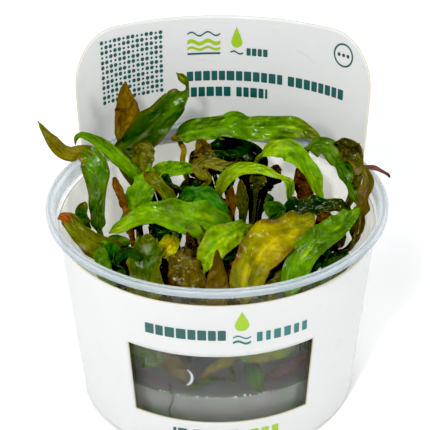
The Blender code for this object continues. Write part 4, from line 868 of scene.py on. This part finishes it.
def makeCup():
    foot, wall, top, rim = cup["footRadius"], cup["wall"], cup["rimTop"], cup["rimRadius"]
    ledge = cup["ledge"]
    points = [
        (0.0, 1.0, 0),
        (foot - 2.6, 1.0, 1.0),
        (wallOut(2.2) - wall, 2.2, 0.6),
        (wallOut(ledge - 0.8) - wall, ledge - 0.8, 0.5),
        (44.7, 56.0, 0.4),
        (44.95, 57.6, 0.3),
        (45.3, 57.9, 0.2),
        (45.45, 59.2, 0.3),
        (45.9, 59.7, 0.3),
        (46.3, 61.1, 0.3),
        (46.8, top, 0.2),
        (47.3, top - 0.05, 0.15),
        (47.6, top - 0.35, 0.15),
        (48.0, top - 0.35, 0.15),
        (48.3, top, 0.2),
        (rim, top - 0.05, 0.35),
        (rim, top - 1.8, 0.25),
        (rim - 0.75, top - 1.8, 0.2),
        (rim - 0.9, top - 0.95, 0.25),
        (47.1, top - 0.95, 0.3),
        (46.7, 58.8, 0.4),
        (46.0, 58.1, 0.3),
        (45.75, 55.8, 0.4),
        (wallOut(ledge), ledge - 0.1, 0.5),
        (wallOut(1.5), 1.5, 1.0),
        (foot - 1.4, 0.0, 0.5),
        (foot - 6.0, 0.0, 0.4),
        (foot - 7.0, 0.4, 0.4),
        (0.0, 0.4, 0),
    ]
    piece = spinProfile("cupShell", points, cup["steps"], [cupFinish(*look) for look in cup["looks"]])
    for face in piece.data.polygons:
        radius, height = face.center.xy.length / mm, face.center.z / mm
        if height > cup["collar"]:
            inGroove = cup["groove"][0] < radius < cup["groove"][1] and height > top - 0.6
            onSide = radius > cup["flangeSide"] and height < top - 0.3
            onStep = cup["step"][0] < radius < cup["step"][1]
            # the groove, the step and the flange's side take the darker milky tone: painted shade
            face.material_index = 2 if inGroove or onSide or onStep else 1
        # Painted shade: the wall is tinted dark in strips beside the sleeve's window
        aside = abs(math.degrees(math.atan2(face.center.x, -face.center.y)) - cup["windowMiddle"])
        besideWindow = cup["windowShade"][0] < aside < cup["windowShade"][1] and height < ledge
        if besideWindow and face.normal.dot(face.center) > 0:
            face.material_index = 3
    return settle(piece, "clear_plastic", "cup")


# The nutrient gel in the foot of the cup
gel = dict(
    top=20.0,
    bottom=1.4,
    gap=0.35,
    steps=120,
    # the mauve and green rings and hazes are painted reflections
    mauveRing=(33.0, 35.0, 36.8, 38.2),  # radii where it comes in and goes out, mm
    greenRing=(37.2, 38.2, 38.8, 39.6),
    ringGap=(0.002, 0.008, 0.015),  # the rings' gap in front: its middle and half widths, metres
    clouds=((0.1, 0.11, 0.098), (0.165, 0.173, 0.155)),
    mauveHaze=(0.11, 0.075, 0.09),
    mauveTone=(0.15, 0.07, 0.12),
    greenTone=(0.06, 0.12, 0.06),
    greenHaze=(0.05, 0.09, 0.04),
)


def gelRadius(height):
    return wallOut(height) - cup["wall"] - gel["gap"]


def gelFinish():
    finish = Finish("cloudyGel")
    place = finish.place()
    cloud = finish.noise(place, 60.0, 4.0, 0.55)
    drift = finish.noise(finish.place((0.5, 1.0, 2.0)), 50.0, 3.0)
    grey = finish.mix(cloud.between(0.3, 0.7), *gel["clouds"])
    x, y = finish.axes(place)[:2]
    # Painted reflections: rings of mauve and green on its upper face, near the wall
    ring = (x * x + y * y) ** 0.5 * 1000 + (cloud - 0.5) * 5
    middle, inner, outer = gel["ringGap"]
    beside = (x - middle).math("ABSOLUTE").between(inner, outer)
    a, b, c, d = gel["mauveRing"]
    mauveRing = ring.between(a, b) * (1 - ring.between(c, d)) * beside
    a, b, c, d = gel["greenRing"]
    greenRing = ring.between(a, b) * (1 - ring.between(c, d)) * beside
    # drifting tinges of mauve and green: painted reflections
    tinged = finish.mix(drift.between(0.52, 0.7) * 0.3, grey, gel["mauveHaze"])
    tinged = finish.mix(mauveRing * 0.55, tinged, gel["mauveTone"])
    tinged = finish.mix(greenRing * 0.6, tinged, gel["greenTone"])
    tinged = finish.mix(drift.between(0.5, 0.3) * 0.6, tinged, gel["greenHaze"])
    finish.set(
        Base_Color=tinged,
        Roughness=0.12 + cloud * 0.1,
        Normal=finish.bump(finish.noise(place, 140.0, 2.0), 0.0003, 0.4),
        Coat_Weight=0.4,
        Coat_Roughness=0.03,
        Subsurface_Weight=1.0,
        Subsurface_Radius=(1.0, 1.0, 0.9),
        Subsurface_Scale=0.01,
    )
    return finish.material


def makeGel():
    inside = gelRadius(gel["top"])
    points = [
        (0.0, gel["top"], 0),
        (inside - 2.0, gel["top"], 1.2),
        (inside, gel["top"] + 0.5, 0.25),
        (gelRadius(3), 3.0, 1.0),
        (cup["footRadius"] - 3.6, gel["bottom"], 0.6),
        (0.0, gel["bottom"], 0),
    ]
    piece = spinProfile("gelBlock", points, gel["steps"], [gelFinish()])
    return settle(piece, "nutrient_gel", "nutrient_gel")


# Fine roots down the side of the gel, and a few bubbles on its upper edge; the bubbles and a drip on a leaf's
# margin are whitish, painted highlights
strands = dict(
    radius=0.32,  # mm
    sides=8,
    steps=24,
    turns=(-20, 48, 131, 222, 290),  # degrees from the front
    above=3.0,  # mm over the gel
    length=18.0,
    bubbles=22,
    bubble=0.22,  # mm
    bubbleTurns=(-26, 26),  # degrees from the front
    dripSteps=24,
    dripSize=(0.16, 0.26),  # radius at the ends, and how much more in the middle, mm
    dripFront=-37.6,
    drip=((-8.5, 28.6), (-7.5, 27.2), (-7.3, 25.4), (-8.0, 24.0), (-8.8, 23.5)),  # x and z in mm
    rootTones=((0.012, 0.014, 0.016), (0.05, 0.045, 0.035)),
    # whitish tones: painted highlights on the bubbles and the drip
    bubbleGlintTones=((0.75, 0.8, 0.78), (0.6, 0.66, 0.64)),
)


def makeRoots():
    bm = bmesh.new()
    for number, turnFrom in enumerate(strands["turns"]):
        grid = bmesh.ops.create_grid(bm, x_segments=strands["sides"], y_segments=strands["steps"], size=1.0)
        for vert in grid["verts"]:
            around, t = math.pi * vert.co.x, (vert.co.y + 1) / 2
            angle = math.radians(turnFrom + 4 * wander(number, 30, t * 3) + 2 * t)
            height = gel["top"] + strands["above"] - strands["length"] * t
            out = gelRadius(height) - 0.05
            out -= 1.5 * (1 - smooth(0.0, 0.15, t))
            thick = strands["radius"] * (1 - 0.8 * t) + 0.04
            radius, along = out + thick * math.cos(around), thick * math.sin(around) / out
            turned = angle + along
            vert.co = Vector((radius * math.sin(turned), -radius * math.cos(turned), height)) * mm
        bmesh.ops.remove_doubles(bm, verts=grid["verts"], dist=weld)
    bmesh.ops.holes_fill(bm, edges=[edge for edge in bm.edges if edge.is_boundary], sides=0)
    bmesh.ops.recalc_face_normals(bm, faces=bm.faces)
    skin = Finish("rootSkin")
    fibre = skin.noise(skin.place(), 900.0, 3.0)
    skin.set(
        Base_Color=skin.mix(fibre.between(0.35, 0.65), *strands["rootTones"]),
        Roughness=0.3 + fibre * 0.2,
        Normal=skin.bump(fibre, 0.0002, 0.6),
    )
    settle(keep("rootStrands", bm, [skin.material]), "crown_flesh")


def makeBubbles():
    bm = bmesh.new()
    inside = gelRadius(gel["top"])
    first, last = strands["bubbleTurns"]
    for number in range(strands["bubbles"]):
        along = first + (last - first) * number / strands["bubbles"]
        angle = math.radians(along + 3 * wander(number, 31, 0.5))
        size = strands["bubble"] * (1 + wander(number, 32, 0.5))
        out = inside - 0.4 - 0.5 * abs(wander(number, 33, 0.5))
        place = Vector((out * math.sin(angle), -out * math.cos(angle), gel["top"] + 0.45)) * mm
        bmesh.ops.create_icosphere(bm, subdivisions=2, radius=size * mm, matrix=Matrix.Translation(place))
    bend = [Vector((x, strands["dripFront"], z)) for x, z in strands["drip"]]
    steps, (thin, swelling) = strands["dripSteps"], strands["dripSize"]
    for step in range(steps + 1):  # a bent whitish drip on a leaf's margin, a painted highlight
        place = routePoint(bend, step / 6.001) * mm
        swell = thin + swelling * math.sin(math.pi * step / steps)
        bmesh.ops.create_icosphere(bm, subdivisions=2, radius=swell * mm, matrix=Matrix.Translation(place))
    shine = Finish("bubbleGlintSkin")
    grain = shine.noise(shine.place(), 900.0, 2.0)
    shine.set(
        # painted highlight: a whitish base colour
        Base_Color=shine.mix(grain, *strands["bubbleGlintTones"]),
        Roughness=0.05 + grain * 0.05,
        Coat_Weight=0.8,
        Coat_Roughness=0.02,
    )
    settle(keep("gelBubbles", bm, [shine.material]), "nutrient_gel")


# The crowns: short knobbly rootstocks half sunk in the gel, with old leaf bases round them
crown = dict(radius=3.3, half=4.4, centre=19.4, bases=9, tones=((0.09, 0.05, 0.02), (0.3, 0.25, 0.12)))


def crownFinish():
    finish = Finish("rootstock")
    place = finish.place()
    fibre = finish.noise(finish.place((1, 1, 0.3)), 1400.0, 4.0)
    finish.set(
        Base_Color=finish.mix(fibre.between(0.35, 0.65), *crown["tones"]),
        Roughness=0.55 - fibre * 0.2,
        Normal=finish.bump(fibre, 0.0003, 0.8),
        Coat_Weight=finish.noise(place, 200.0) * 0.5,
        Coat_Roughness=0.1,
    )
    return finish.material


def makeCrowns():
    skin = crownFinish()
    for number, (name, (x, y)) in enumerate(crowns.items()):
        bm = bmesh.new()
        bmesh.ops.create_icosphere(bm, subdivisions=4, radius=1.0)
        for vert in bm.verts:
            ring = math.atan2(vert.co.y, vert.co.x)
            knob = 0.1 * math.sin(crown["bases"] * ring + vert.co.z * 5 + number) * (1 - abs(vert.co.z))
            swell = 0.94 + knob + 0.08 * noise.noise(vert.co * 3 + Vector((number, 0, 0)))
            spread = vert.co * min(1.0, swell)
            wide, tall = crown["radius"], crown["half"]
            vert.co = Vector((spread.x * wide, spread.y * wide, spread.z * tall)) * mm
        bmesh.ops.translate(bm, verts=bm.verts, vec=(x * mm, y * mm, crown["centre"] * mm))
        node = "crown_" + name
        settle(keep(node + "_skin", bm, [skin]), "crown_flesh", node)


# The card sleeve: one sheet round the cup, with a window in front and a tall panel behind
sleeve = dict(
    card=0.5,  # mm
    low=0.6,
    top=55.0,
    radiusLow=40.2,
    radiusTop=45.7,
    windowTurns=(-34.5, 37.0),  # degrees from the front
    windowHeights=(13.0, 37.4),
    panelTop=93.6,
    panelSides=(-46.6, 52.4),
    corner=15.5,
    panelBack=50.2,
    panelRadius=52.3,
    flattening=0.415,
    lean=math.radians(10.0),
    fold=60.0,
    clear=58.3,  # where the panel is free of the cup
    bulge=2.4,  # how far the sides stand off where the panel folds up
    bulgeFade=2.2,
    bulgeHeights=(37.0, 56.0),
    rowPower=1.1,
    overlap=0.6,  # how far the panel's lowest rows reach down to the band
    evenness=0.35,  # how evenly the panel's columns are spread
    windowColumns=56,
    sideColumns=44,
    panelColumns=120,
    bandRows=(10, 24, 16),  # below, beside and above the window
    panelRows=40,
    looks=[  # name, tone, roughness, and the strength of a painted glow
        ("printedCard", (0.67, 0.675, 0.67), 0.42, 0.0),
        # cardInside glows at 0.34: painted light inside the cup
        ("cardInside", (0.88, 0.875, 0.82), 0.6, 0.34),
        ("cardEdge", (0.6, 0.54, 0.36), 0.7, 0.0),
    ],
)


def onPanel(along, height, lift=0.0):  # a point of the panel's back face, or in front of it by lift
    rise = height - sleeve["fold"]
    radius = sleeve["panelRadius"] + sleeve["flattening"] * rise
    back = sleeve["panelBack"] + math.tan(sleeve["lean"]) * rise - lift
    angle = along / radius
    spread = (radius - lift * 0.9) * math.sin(angle)
    return Vector((spread, back - radius + lift + (radius - lift) * math.cos(angle), height)) * mm


def bandRadius(height):
    share = (height - sleeve["low"]) / (sleeve["top"] - sleeve["low"])
    return sleeve["radiusLow"] + (sleeve["radiusTop"] - sleeve["radiusLow"]) * share


def onBand(angle, height, lift=0.0):  # angle from the front, in radians
    radius = (bandRadius(height) + lift) * mm
    return Vector((radius * math.sin(angle), -radius * math.cos(angle), height * mm))


def cardFinish(name, tone, shine, paintedGlow):  # paintedGlow: the card glows in its own tone, painted light standing in for light through the thin card
    finish = Finish(name)
    place = finish.place()
    fibre = finish.noise(place, 1500.0, 3.0, 0.6)
    wave = finish.noise(place, 28.0, 2.0)
    dents = finish.noise(place, 95.0, 1.0).between(0.66, 0.72)
    soil = finish.noise(place, 60.0, 4.0, 0.6).between(0.55, 0.85)
    dull = tuple(c * 0.93 for c in tone)
    finish.set(
        Base_Color=finish.mix(soil * 0.5, tone, dull),
        Roughness=shine + fibre * 0.12,
        Normal=finish.bump(fibre * 0.03 + wave * 1.0 + dents * 0.35, 0.0005, 0.5),
        Coat_Weight=0.2 + dents * 0.3,
        Coat_Roughness=0.2,
        Subsurface_Weight=0.35,
        Subsurface_Radius=(1.0, 1.0, 0.95),
        Subsurface_Scale=0.0015,
        # painted light: the card glows in its own tone
        Emission_Color=tone,
        Emission_Strength=paintedGlow,
    )
    return finish.material


def makeSleeve():
    s = sleeve
    window = [math.radians(t) for t in s["windowTurns"]]
    left, right = s["panelSides"]
    counts = (s["windowColumns"], s["sideColumns"], s["panelColumns"], s["sideColumns"])
    firstPanel = counts[0] + counts[1]
    lastPanel = firstPanel + counts[2]
    bandRows = sum(s["bandRows"])
    columns, rows = sum(counts), bandRows + s["panelRows"]
    below, beside, above = s["bandRows"]
    lowWindow, highWindow = s["windowHeights"]

    def foldTurn(along):  # the angle round the cup of a place along the fold
        place = onPanel(along, s["fold"])
        angle = math.atan2(place.x, -place.y)
        return angle if angle > 0 else angle + 2 * math.pi

    ends = (foldTurn(right), foldTurn(left))

    def bandHeight(row):
        if row <= below:
            return s["low"] + (lowWindow - s["low"]) * row / below
        if row <= below + beside:
            return lowWindow + (highWindow - lowWindow) * (row - below) / beside
        return highWindow + (s["top"] - highWindow) * (row - below - beside) / above

    def alongPanel(column):  # columns crowd towards the rounded corners
        share = (lastPanel - column) / counts[2]
        eased = 0.5 - 0.5 * math.cos(math.pi * share)
        return left + (right - left) * (s["evenness"] * share + (1 - s["evenness"]) * eased)

    def columnTurn(column):
        if column <= counts[0]:
            return window[0] + (window[1] - window[0]) * column / counts[0]
        if column <= firstPanel:
            return window[1] + (ends[0] - window[1]) * (column - counts[0]) / counts[1]
        if column >= lastPanel:
            return ends[1] + (window[0] + 2 * math.pi - ends[1]) * (column - lastPanel) / counts[3]
        return foldTurn(alongPanel(column))

    def panelTop(along):
        inset = min(along - left, right - along)
        if inset >= s["corner"]:
            return s["panelTop"]
        away = s["corner"] - max(inset, 0.0)
        return s["panelTop"] - s["corner"] + math.sqrt(s["corner"] ** 2 - away ** 2)

    def bulge(angle, height):
        away = 0.0
        if angle < ends[0]:
            away = (ends[0] - angle) / (ends[0] - window[1])
        elif angle > ends[1]:
            away = (angle - ends[1]) / (window[0] + 2 * math.pi - ends[1])
        return s["bulge"] * max(0.0, 1.0 - s["bulgeFade"] * away) ** 2 * smooth(*s["bulgeHeights"], height)

    bm = bmesh.new()
    bmesh.ops.create_grid(bm, x_segments=columns, y_segments=rows, size=1.0)
    cells = {}
    for vert in bm.verts:
        column = round((vert.co.x + 1) / 2 * columns)
        row = round((vert.co.y + 1) / 2 * rows)
        cells[vert] = (column, row)
        angle = columnTurn(column)
        if row <= bandRows:
            height = bandHeight(row)
            vert.co = onBand(angle, height, bulge(angle, height))
        elif firstPanel <= column <= lastPanel:
            along = alongPanel(column)
            share = (row - bandRows) / s["panelRows"]
            height = s["clear"] + (panelTop(along) - s["clear"]) * share ** s["rowPower"]
            height -= (s["clear"] - s["top"]) * (1 - share) ** 8 * s["overlap"]
            vert.co = onPanel(along, height)
    gone = []
    for face in bm.faces:
        column = sum(cells[v][0] for v in face.verts) / 4
        row = sum(cells[v][1] for v in face.verts) / 4
        inWindow = column < counts[0] and below < row < below + beside
        besidePanel = row > bandRows and not firstPanel < column < lastPanel
        if inWindow or besidePanel:
            gone.append(face)
        if row > bandRows:  # the panel is white on both sides
            face.material_index = 3
    bmesh.ops.delete(bm, geom=gone, context="FACES")
    bmesh.ops.remove_doubles(bm, verts=bm.verts, dist=weld)
    bmesh.ops.recalc_face_normals(bm, faces=bm.faces)
    if sum(face.normal.dot(Vector((*face.calc_center_median().xy, 0))) for face in bm.faces) < 0:
        bmesh.ops.reverse_faces(bm, faces=bm.faces)
    white, inside, edge = [cardFinish(*look) for look in s["looks"]]
    piece = keep("sleeveCard", bm, [white, inside, edge, white, white, edge])
    sheet = piece.modifiers.new("card", "SOLIDIFY")
    sheet.thickness = s["card"] * mm
    sheet.offset = -1.0
    sheet.material_offset = 1
    sheet.material_offset_rim = 2
    return settle(piece, "printed_card", "card_sleeve")


# The printed shapes: flat shapes in mm, laid on the card
prints = dict(
    lift=0.05,  # mm over the card
    softCorner=0.25,
    groupGap=1.3,
    sideTurn=74.0,  # degrees from the front
    forest=(0.006, 0.085, 0.075),
    teal=(0.012, 0.15, 0.14),
    lime=(0.3, 0.5, 0.005),
    mauve=(0.28, 0.03, 0.16),
    grey=(0.35, 0.36, 0.35),
)


def block(bm, x, y, wide, tall, soft):  # a bar with rounded ends, its lower left corner at x, y
    parts = max(1, round(wide / 2))
    made = bmesh.ops.create_grid(bm, x_segments=parts, y_segments=1, size=0.5)["verts"]
    bmesh.ops.scale(bm, vec=(wide, tall, 1), verts=made)
    bmesh.ops.translate(bm, vec=(x + wide / 2, y + tall / 2, 0), verts=made)
    ends = [v for v in made if len(v.link_edges) == 2]
    settings = dict(offset_type="OFFSET", segments=3, profile=0.5, affect="VERTICES", material=-1)
    bmesh.ops.bevel(bm, geom=ends, offset=soft, **settings)


def dot(bm, x, y, radius, parts=20):
    made = bmesh.ops.create_circle(bm, cap_ends=True, segments=parts, radius=radius)["verts"]
    bmesh.ops.translate(bm, vec=(x, y, 0), verts=made)


def hoop(bm, x, y, outer, inner, parts=40):
    loops = []
    for radius in (outer, inner):
        made = bmesh.ops.create_circle(bm, segments=parts, radius=radius)["verts"]
        bmesh.ops.translate(bm, vec=(x, y, 0), verts=made)
        loops += list({edge for v in made for edge in v.link_edges})
    bmesh.ops.bridge_loops(bm, edges=loops)


def drop(bm, x, y, radius, tall=1.9):  # a drop with its point upwards
    made = bmesh.ops.create_circle(bm, cap_ends=True, segments=28, radius=radius)["verts"]
    for v in made:
        if v.co.y > 0:
            v.co.x *= 1 - (v.co.y / radius) ** 1.4 * 0.9
            v.co.y *= tall
    bmesh.ops.translate(bm, vec=(x, y, 0), verts=made)


def ripple(bm, x, y, wide, tall, high, waves):  # a wavy line
    made = bmesh.ops.create_grid(bm, x_segments=28, y_segments=1, size=0.5)["verts"]
    for v in made:
        share = v.co.x + 0.5
        v.co = Vector((x + share * wide, y + v.co.y * tall + high * math.sin(share * waves * 2 * math.pi), 0))


def words(bm, x, y, tall, widths, gap):  # a row of plain blocks, in groups parted by zeros
    for wide in widths:
        if wide:
            block(bm, x, y, wide, tall, prints["softCorner"])
            x += wide + gap
        else:
            x += prints["groupGap"]


def wordRows(bm, x, y, tall, widths, gap, count, step, fewer):  # rows of blocks, some of them shorter
    for row in range(count):
        words(bm, x, y - row * step, tall, widths[: len(widths) - row % 3 * fewer], gap)


def lattice(bm, x, y, across, up, pitch, big, small, parts):  # dots of two sizes
    for i in range(across):
        for k in range(up):
            dot(bm, x + i * pitch, y + k * pitch, big if (i * 5 + k * 3) % 7 < 4 else small, parts)


def printFinish(name, tone):
    finish = Finish(name)
    grain = finish.noise(finish.place(), 1800.0, 2.0)
    finish.set(
        Base_Color=finish.mix(grain.between(0.55, 0.8) * 0.3, tone, tuple(c * 1.6 + 0.02 for c in tone)),
        Roughness=0.4 + grain * 0.1,
        Coat_Weight=0.25,
        Coat_Roughness=0.2,
    )
    return finish.material


def lay(name, bm, tone, surface, way):  # puts flat shapes on a face of the card that looks this way
    for vert in bm.verts:
        vert.co = surface(vert.co.x, vert.co.y)
    for face in bm.faces:
        face.normal_update()
    outward = sum(face.normal.dot(Vector(way)) for face in bm.faces if face.normal.length > 0)
    if outward < 0:
        bmesh.ops.reverse_faces(bm, faces=bm.faces)
    return settle(keep(name, bm, [printFinish(name + "Ink", prints[tone])], False), "printed_card")


printed = [  # piece, tone, the face it lies on, and its shapes
    ("panelPrintDark", "forest", "panel", [
        (lattice, -36.4, 71.8, 14, 13, 1.49, 0.62, 0.4, 10),
        (words, -9.0, 73.6, 3.0, [2.0, 2.1, 2.1, 1.8, 1.9, 2.4, 2.0, 2.3, 2.1, 1.9, 2.2, 1.7, 0,
            2.1, 2.2, 2.1, 1.9, 1.8, 1.9, 1.8, 2.0], 0.5),
        (words, -9.0, 68.6, 3.0, [0.7, 1.9, 2.0, 2.3, 2.1, 2.1, 0, 1.7, 1.7, 2.1, 1.6, 0.7], 0.5),
        (hoop, 41.5, 86.8, 3.5, 2.95),
        (dot, 39.9, 86.8, 0.55),
        (dot, 41.5, 86.8, 0.55),
        (dot, 43.1, 86.8, 0.55),
        (ripple, -8.7, 88.2, 10.2, 0.5, 0.6, 2),
        (block, -8.7, 81.8, 10.2, 0.6, 0.2),
        (words, 9.6, 81.6, 2.3, [1.3, 1.4, 1.3, 1.4], 0.4),
        (ripple, 4.6, 82.4, 4.0, 0.5, 0.4, 1),
    ]),
    ("panelPrintLime", "lime", "panel", [
        (ripple, -8.7, 85.6, 10.2, 1.2, 0.5, 2),
        (ripple, -8.7, 83.7, 10.2, 0.8, 0.4, 2),
        (drop, 6.6, 85.6, 1.7, 2.9),
    ]),
    ("bandPrintDark", "forest", "front", [
        (words, -20.5, 43.2, 3.5, [2.6, 2.2, 2.7, 2.7, 2.2, 2.4, 2.1, 2.2], 0.5),
        (words, -13.0, 6.4, 3.8, [0.9, 2.6, 0, 2.5, 0.9, 2.2, 2.5, 2.6], 0.5),
    ]),
    ("bandPrintTeal", "teal", "front", [
        (words, 10.6, 41.9, 3.3, [1.6, 1.3, 2.0, 2.0, 1.6, 1.6], 1.0),
        (ripple, 4.0, 42.2, 5.0, 0.8, 0.5, 1),
        (ripple, 4.0, 44.0, 5.0, 0.5, 0.5, 1),
    ]),
    ("bandPrintLime", "lime", "front", [
        (drop, 6.5, 48.2, 2.0, 2.4),
        (words, 9.0, 6.4, 3.4, [2.4, 2.2, 2.0], 0.9),
    ]),
    ("backPrintGrey", "grey", "back", [
        (wordRows, -22.0, 40.0, 0.9, [1.4, 2.2, 1.1, 0, 1.8, 2.6, 0, 1.2, 1.9, 2.4, 0, 2.0, 1.3],
            0.3, 7, 2.6, 2),
        (words, 5.0, 40.0, 0.9, [1.6, 2.4, 0, 1.8, 1.2, 2.2], 0.3),
    ]),
    ("backPrintDark", "forest", "back", [
        (lattice, 6.0, 24.0, 6, 6, 2.0, 0.6, 0.6, 12),
        (hoop, -18.0, 14.0, 3.0, 2.3),
        (drop, -18.0, 13.4, 1.1),
    ]),
    ("sidePrintMauve", "mauve", "side", [
        (hoop, 8.0, 27.0, 2.6, 1.4),
        (drop, 8.0, 26.4, 0.9),
    ]),
    ("sidePrintLime", "lime", "side", [(ripple, 3.0, 41.0, 12.0, 0.7, 0.4, 3)]),
    ("sidePrintGrey", "grey", "side", [
        (wordRows, 3.0, 16.0, 0.8, [1.4, 1.9, 1.2, 0, 1.8, 1.4], 0.3, 4, 2.2, 0),
    ]),
]


def makePrints():
    over = prints["lift"]
    aside = math.radians(prints["sideTurn"])
    surfaces = {  # how a flat point comes onto this face of the card, and the way the face looks
        "panel": (lambda x, y: onPanel(x, y, sleeve["card"] + over), (0, -1, 0)),
        "front": (lambda x, y: onBand(x / bandRadius(y), y, over), (0, -1, 0)),
        "back": (lambda x, y: onBand(math.pi - x / bandRadius(y), y, over), (0, 1, 0)),
        "side": (lambda x, y: onBand(aside + x / bandRadius(y), y, over), (1, 0, 0)),
    }
    for name, tone, surface, shapes in printed:
        bm = bmesh.new()
        for shape, *sizes in shapes:
            shape(bm, *sizes)
        lay(name, bm, tone, *surfaces[surface])


# The stage: a pale floor, soft lights and the camera
stage = dict(
    floorRadius=4.0,  # metres
    floorTone=(0.94, 0.94, 0.94),
    floorGlow=0.2,
    worldTone=(0.96, 0.98, 1.0),
    worldLight=0.36,
    blackLevel=0.02,
    lights=[  # name, place, size in metres, watts
        ("softKey", (-0.3, -0.95, 0.95), 0.16, 8.4),
        ("softTop", (0.1, 0.25, 1.35), 0.4, 4.4),
        ("softLeft", (-1.0, -0.35, 0.65), 0.35, 3.8),
        ("softRight", (1.0, -0.35, 0.65), 0.35, 4.6),
    ],
)

view = dict(
    target=(-0.00056, 0.0, 0.0562),
    distance=0.5,
    elevation=math.radians(30.76),
    roll=math.radians(-0.46),
    focus=1736.87,  # focal length in the photo's pixels
    frame=430,
    sensor=36.0,
)


def makeStage():
    bm = bmesh.new()
    bmesh.ops.create_circle(bm, cap_ends=True, segments=96, radius=stage["floorRadius"])
    floorFinish = Finish("paleFloor")
    grain = floorFinish.noise(floorFinish.place(), 40.0, 3.0)
    pale = stage["floorTone"]
    floorFinish.set(
        Emission_Color=(1.0, 1.0, 1.0),
        Emission_Strength=stage["floorGlow"],
        Base_Color=floorFinish.mix(grain, pale, tuple(c * 0.985 for c in pale)),
        Roughness=0.9,
        Specular_IOR_Level=0.1,
    )
    floor = keep("floor", bm, [floorFinish.material], False)

    world = bpy.data.worlds.new("studio")
    world.use_nodes = True
    sky = world.node_tree.nodes["Background"]
    sky.inputs["Color"].default_value = (*stage["worldTone"], 1.0)
    sky.inputs["Strength"].default_value = stage["worldLight"]
    bpy.context.scene.world = world
    for name, place, size, watts in stage["lights"]:
        data = bpy.data.lights.new(name, "AREA")
        data.shape = "DISK"
        data.size = size
        data.energy = watts
        lamp = bpy.data.objects.new(name, data)
        lamp.location = place
        lamp.rotation_mode = "QUATERNION"
        lamp.rotation_quaternion = (Vector(view["target"]) - Vector(place)).to_track_quat("-Z", "Y")
        bpy.context.scene.collection.objects.link(lamp)


def makeCamera():
    data = bpy.data.cameras.new("photoCamera")
    data.sensor_width = view["sensor"]
    data.lens = view["sensor"] * view["focus"] / view["frame"]
    data.clip_start = 0.05
    data.clip_end = 20.0
    camera = bpy.data.objects.new("photoCamera", data)
    lift, roll = view["elevation"], view["roll"]
    back = Vector((0.0, -math.cos(lift), math.sin(lift)))
    right = Vector((1.0, 0.0, 0.0))
    up = back.cross(right)
    tiltedRight = right * math.cos(roll) + up * math.sin(roll)
    tiltedUp = up * math.cos(roll) - right * math.sin(roll)
    turned = Matrix((tiltedRight, tiltedUp, back)).transposed().to_4x4()
    turned.translation = Vector(view["target"]) + back * view["distance"]
    camera.matrix_world = turned
    bpy.context.scene.collection.objects.link(camera)
    bpy.context.scene.camera = camera


makeCup()
print("cup made")
makeGel()
makeCrowns()
makeRoots()
makeBubbles()
print("gel and crowns made")
makeSleeve()
makePrints()
print("sleeve and prints made")
wetLeaf = leafFinish("wetLeaf")
for number, (name, own) in enumerate(leaves.items()):
    node = "leaf_" + name
    growLeaf(node + "_blade", leafUsual | own, number, wetLeaf, [node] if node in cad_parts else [])
for number, filler in enumerate(fillers):
    seed = number + leafBuild["fillerSeed"]
    growLeaf(f"innerLeaf_{number + 1:02d}", leafUsual | fillerLeaf(*filler), seed, wetLeaf)
print("leaves made:", len(leaves) + len(fillers))
makeStage()
makeCamera()
display = bpy.context.scene.view_settings
display.view_transform = "Standard"
display.use_curve_mapping = True
display.curve_mapping.black_level = (stage["blackLevel"],) * 3
display.curve_mapping.update()
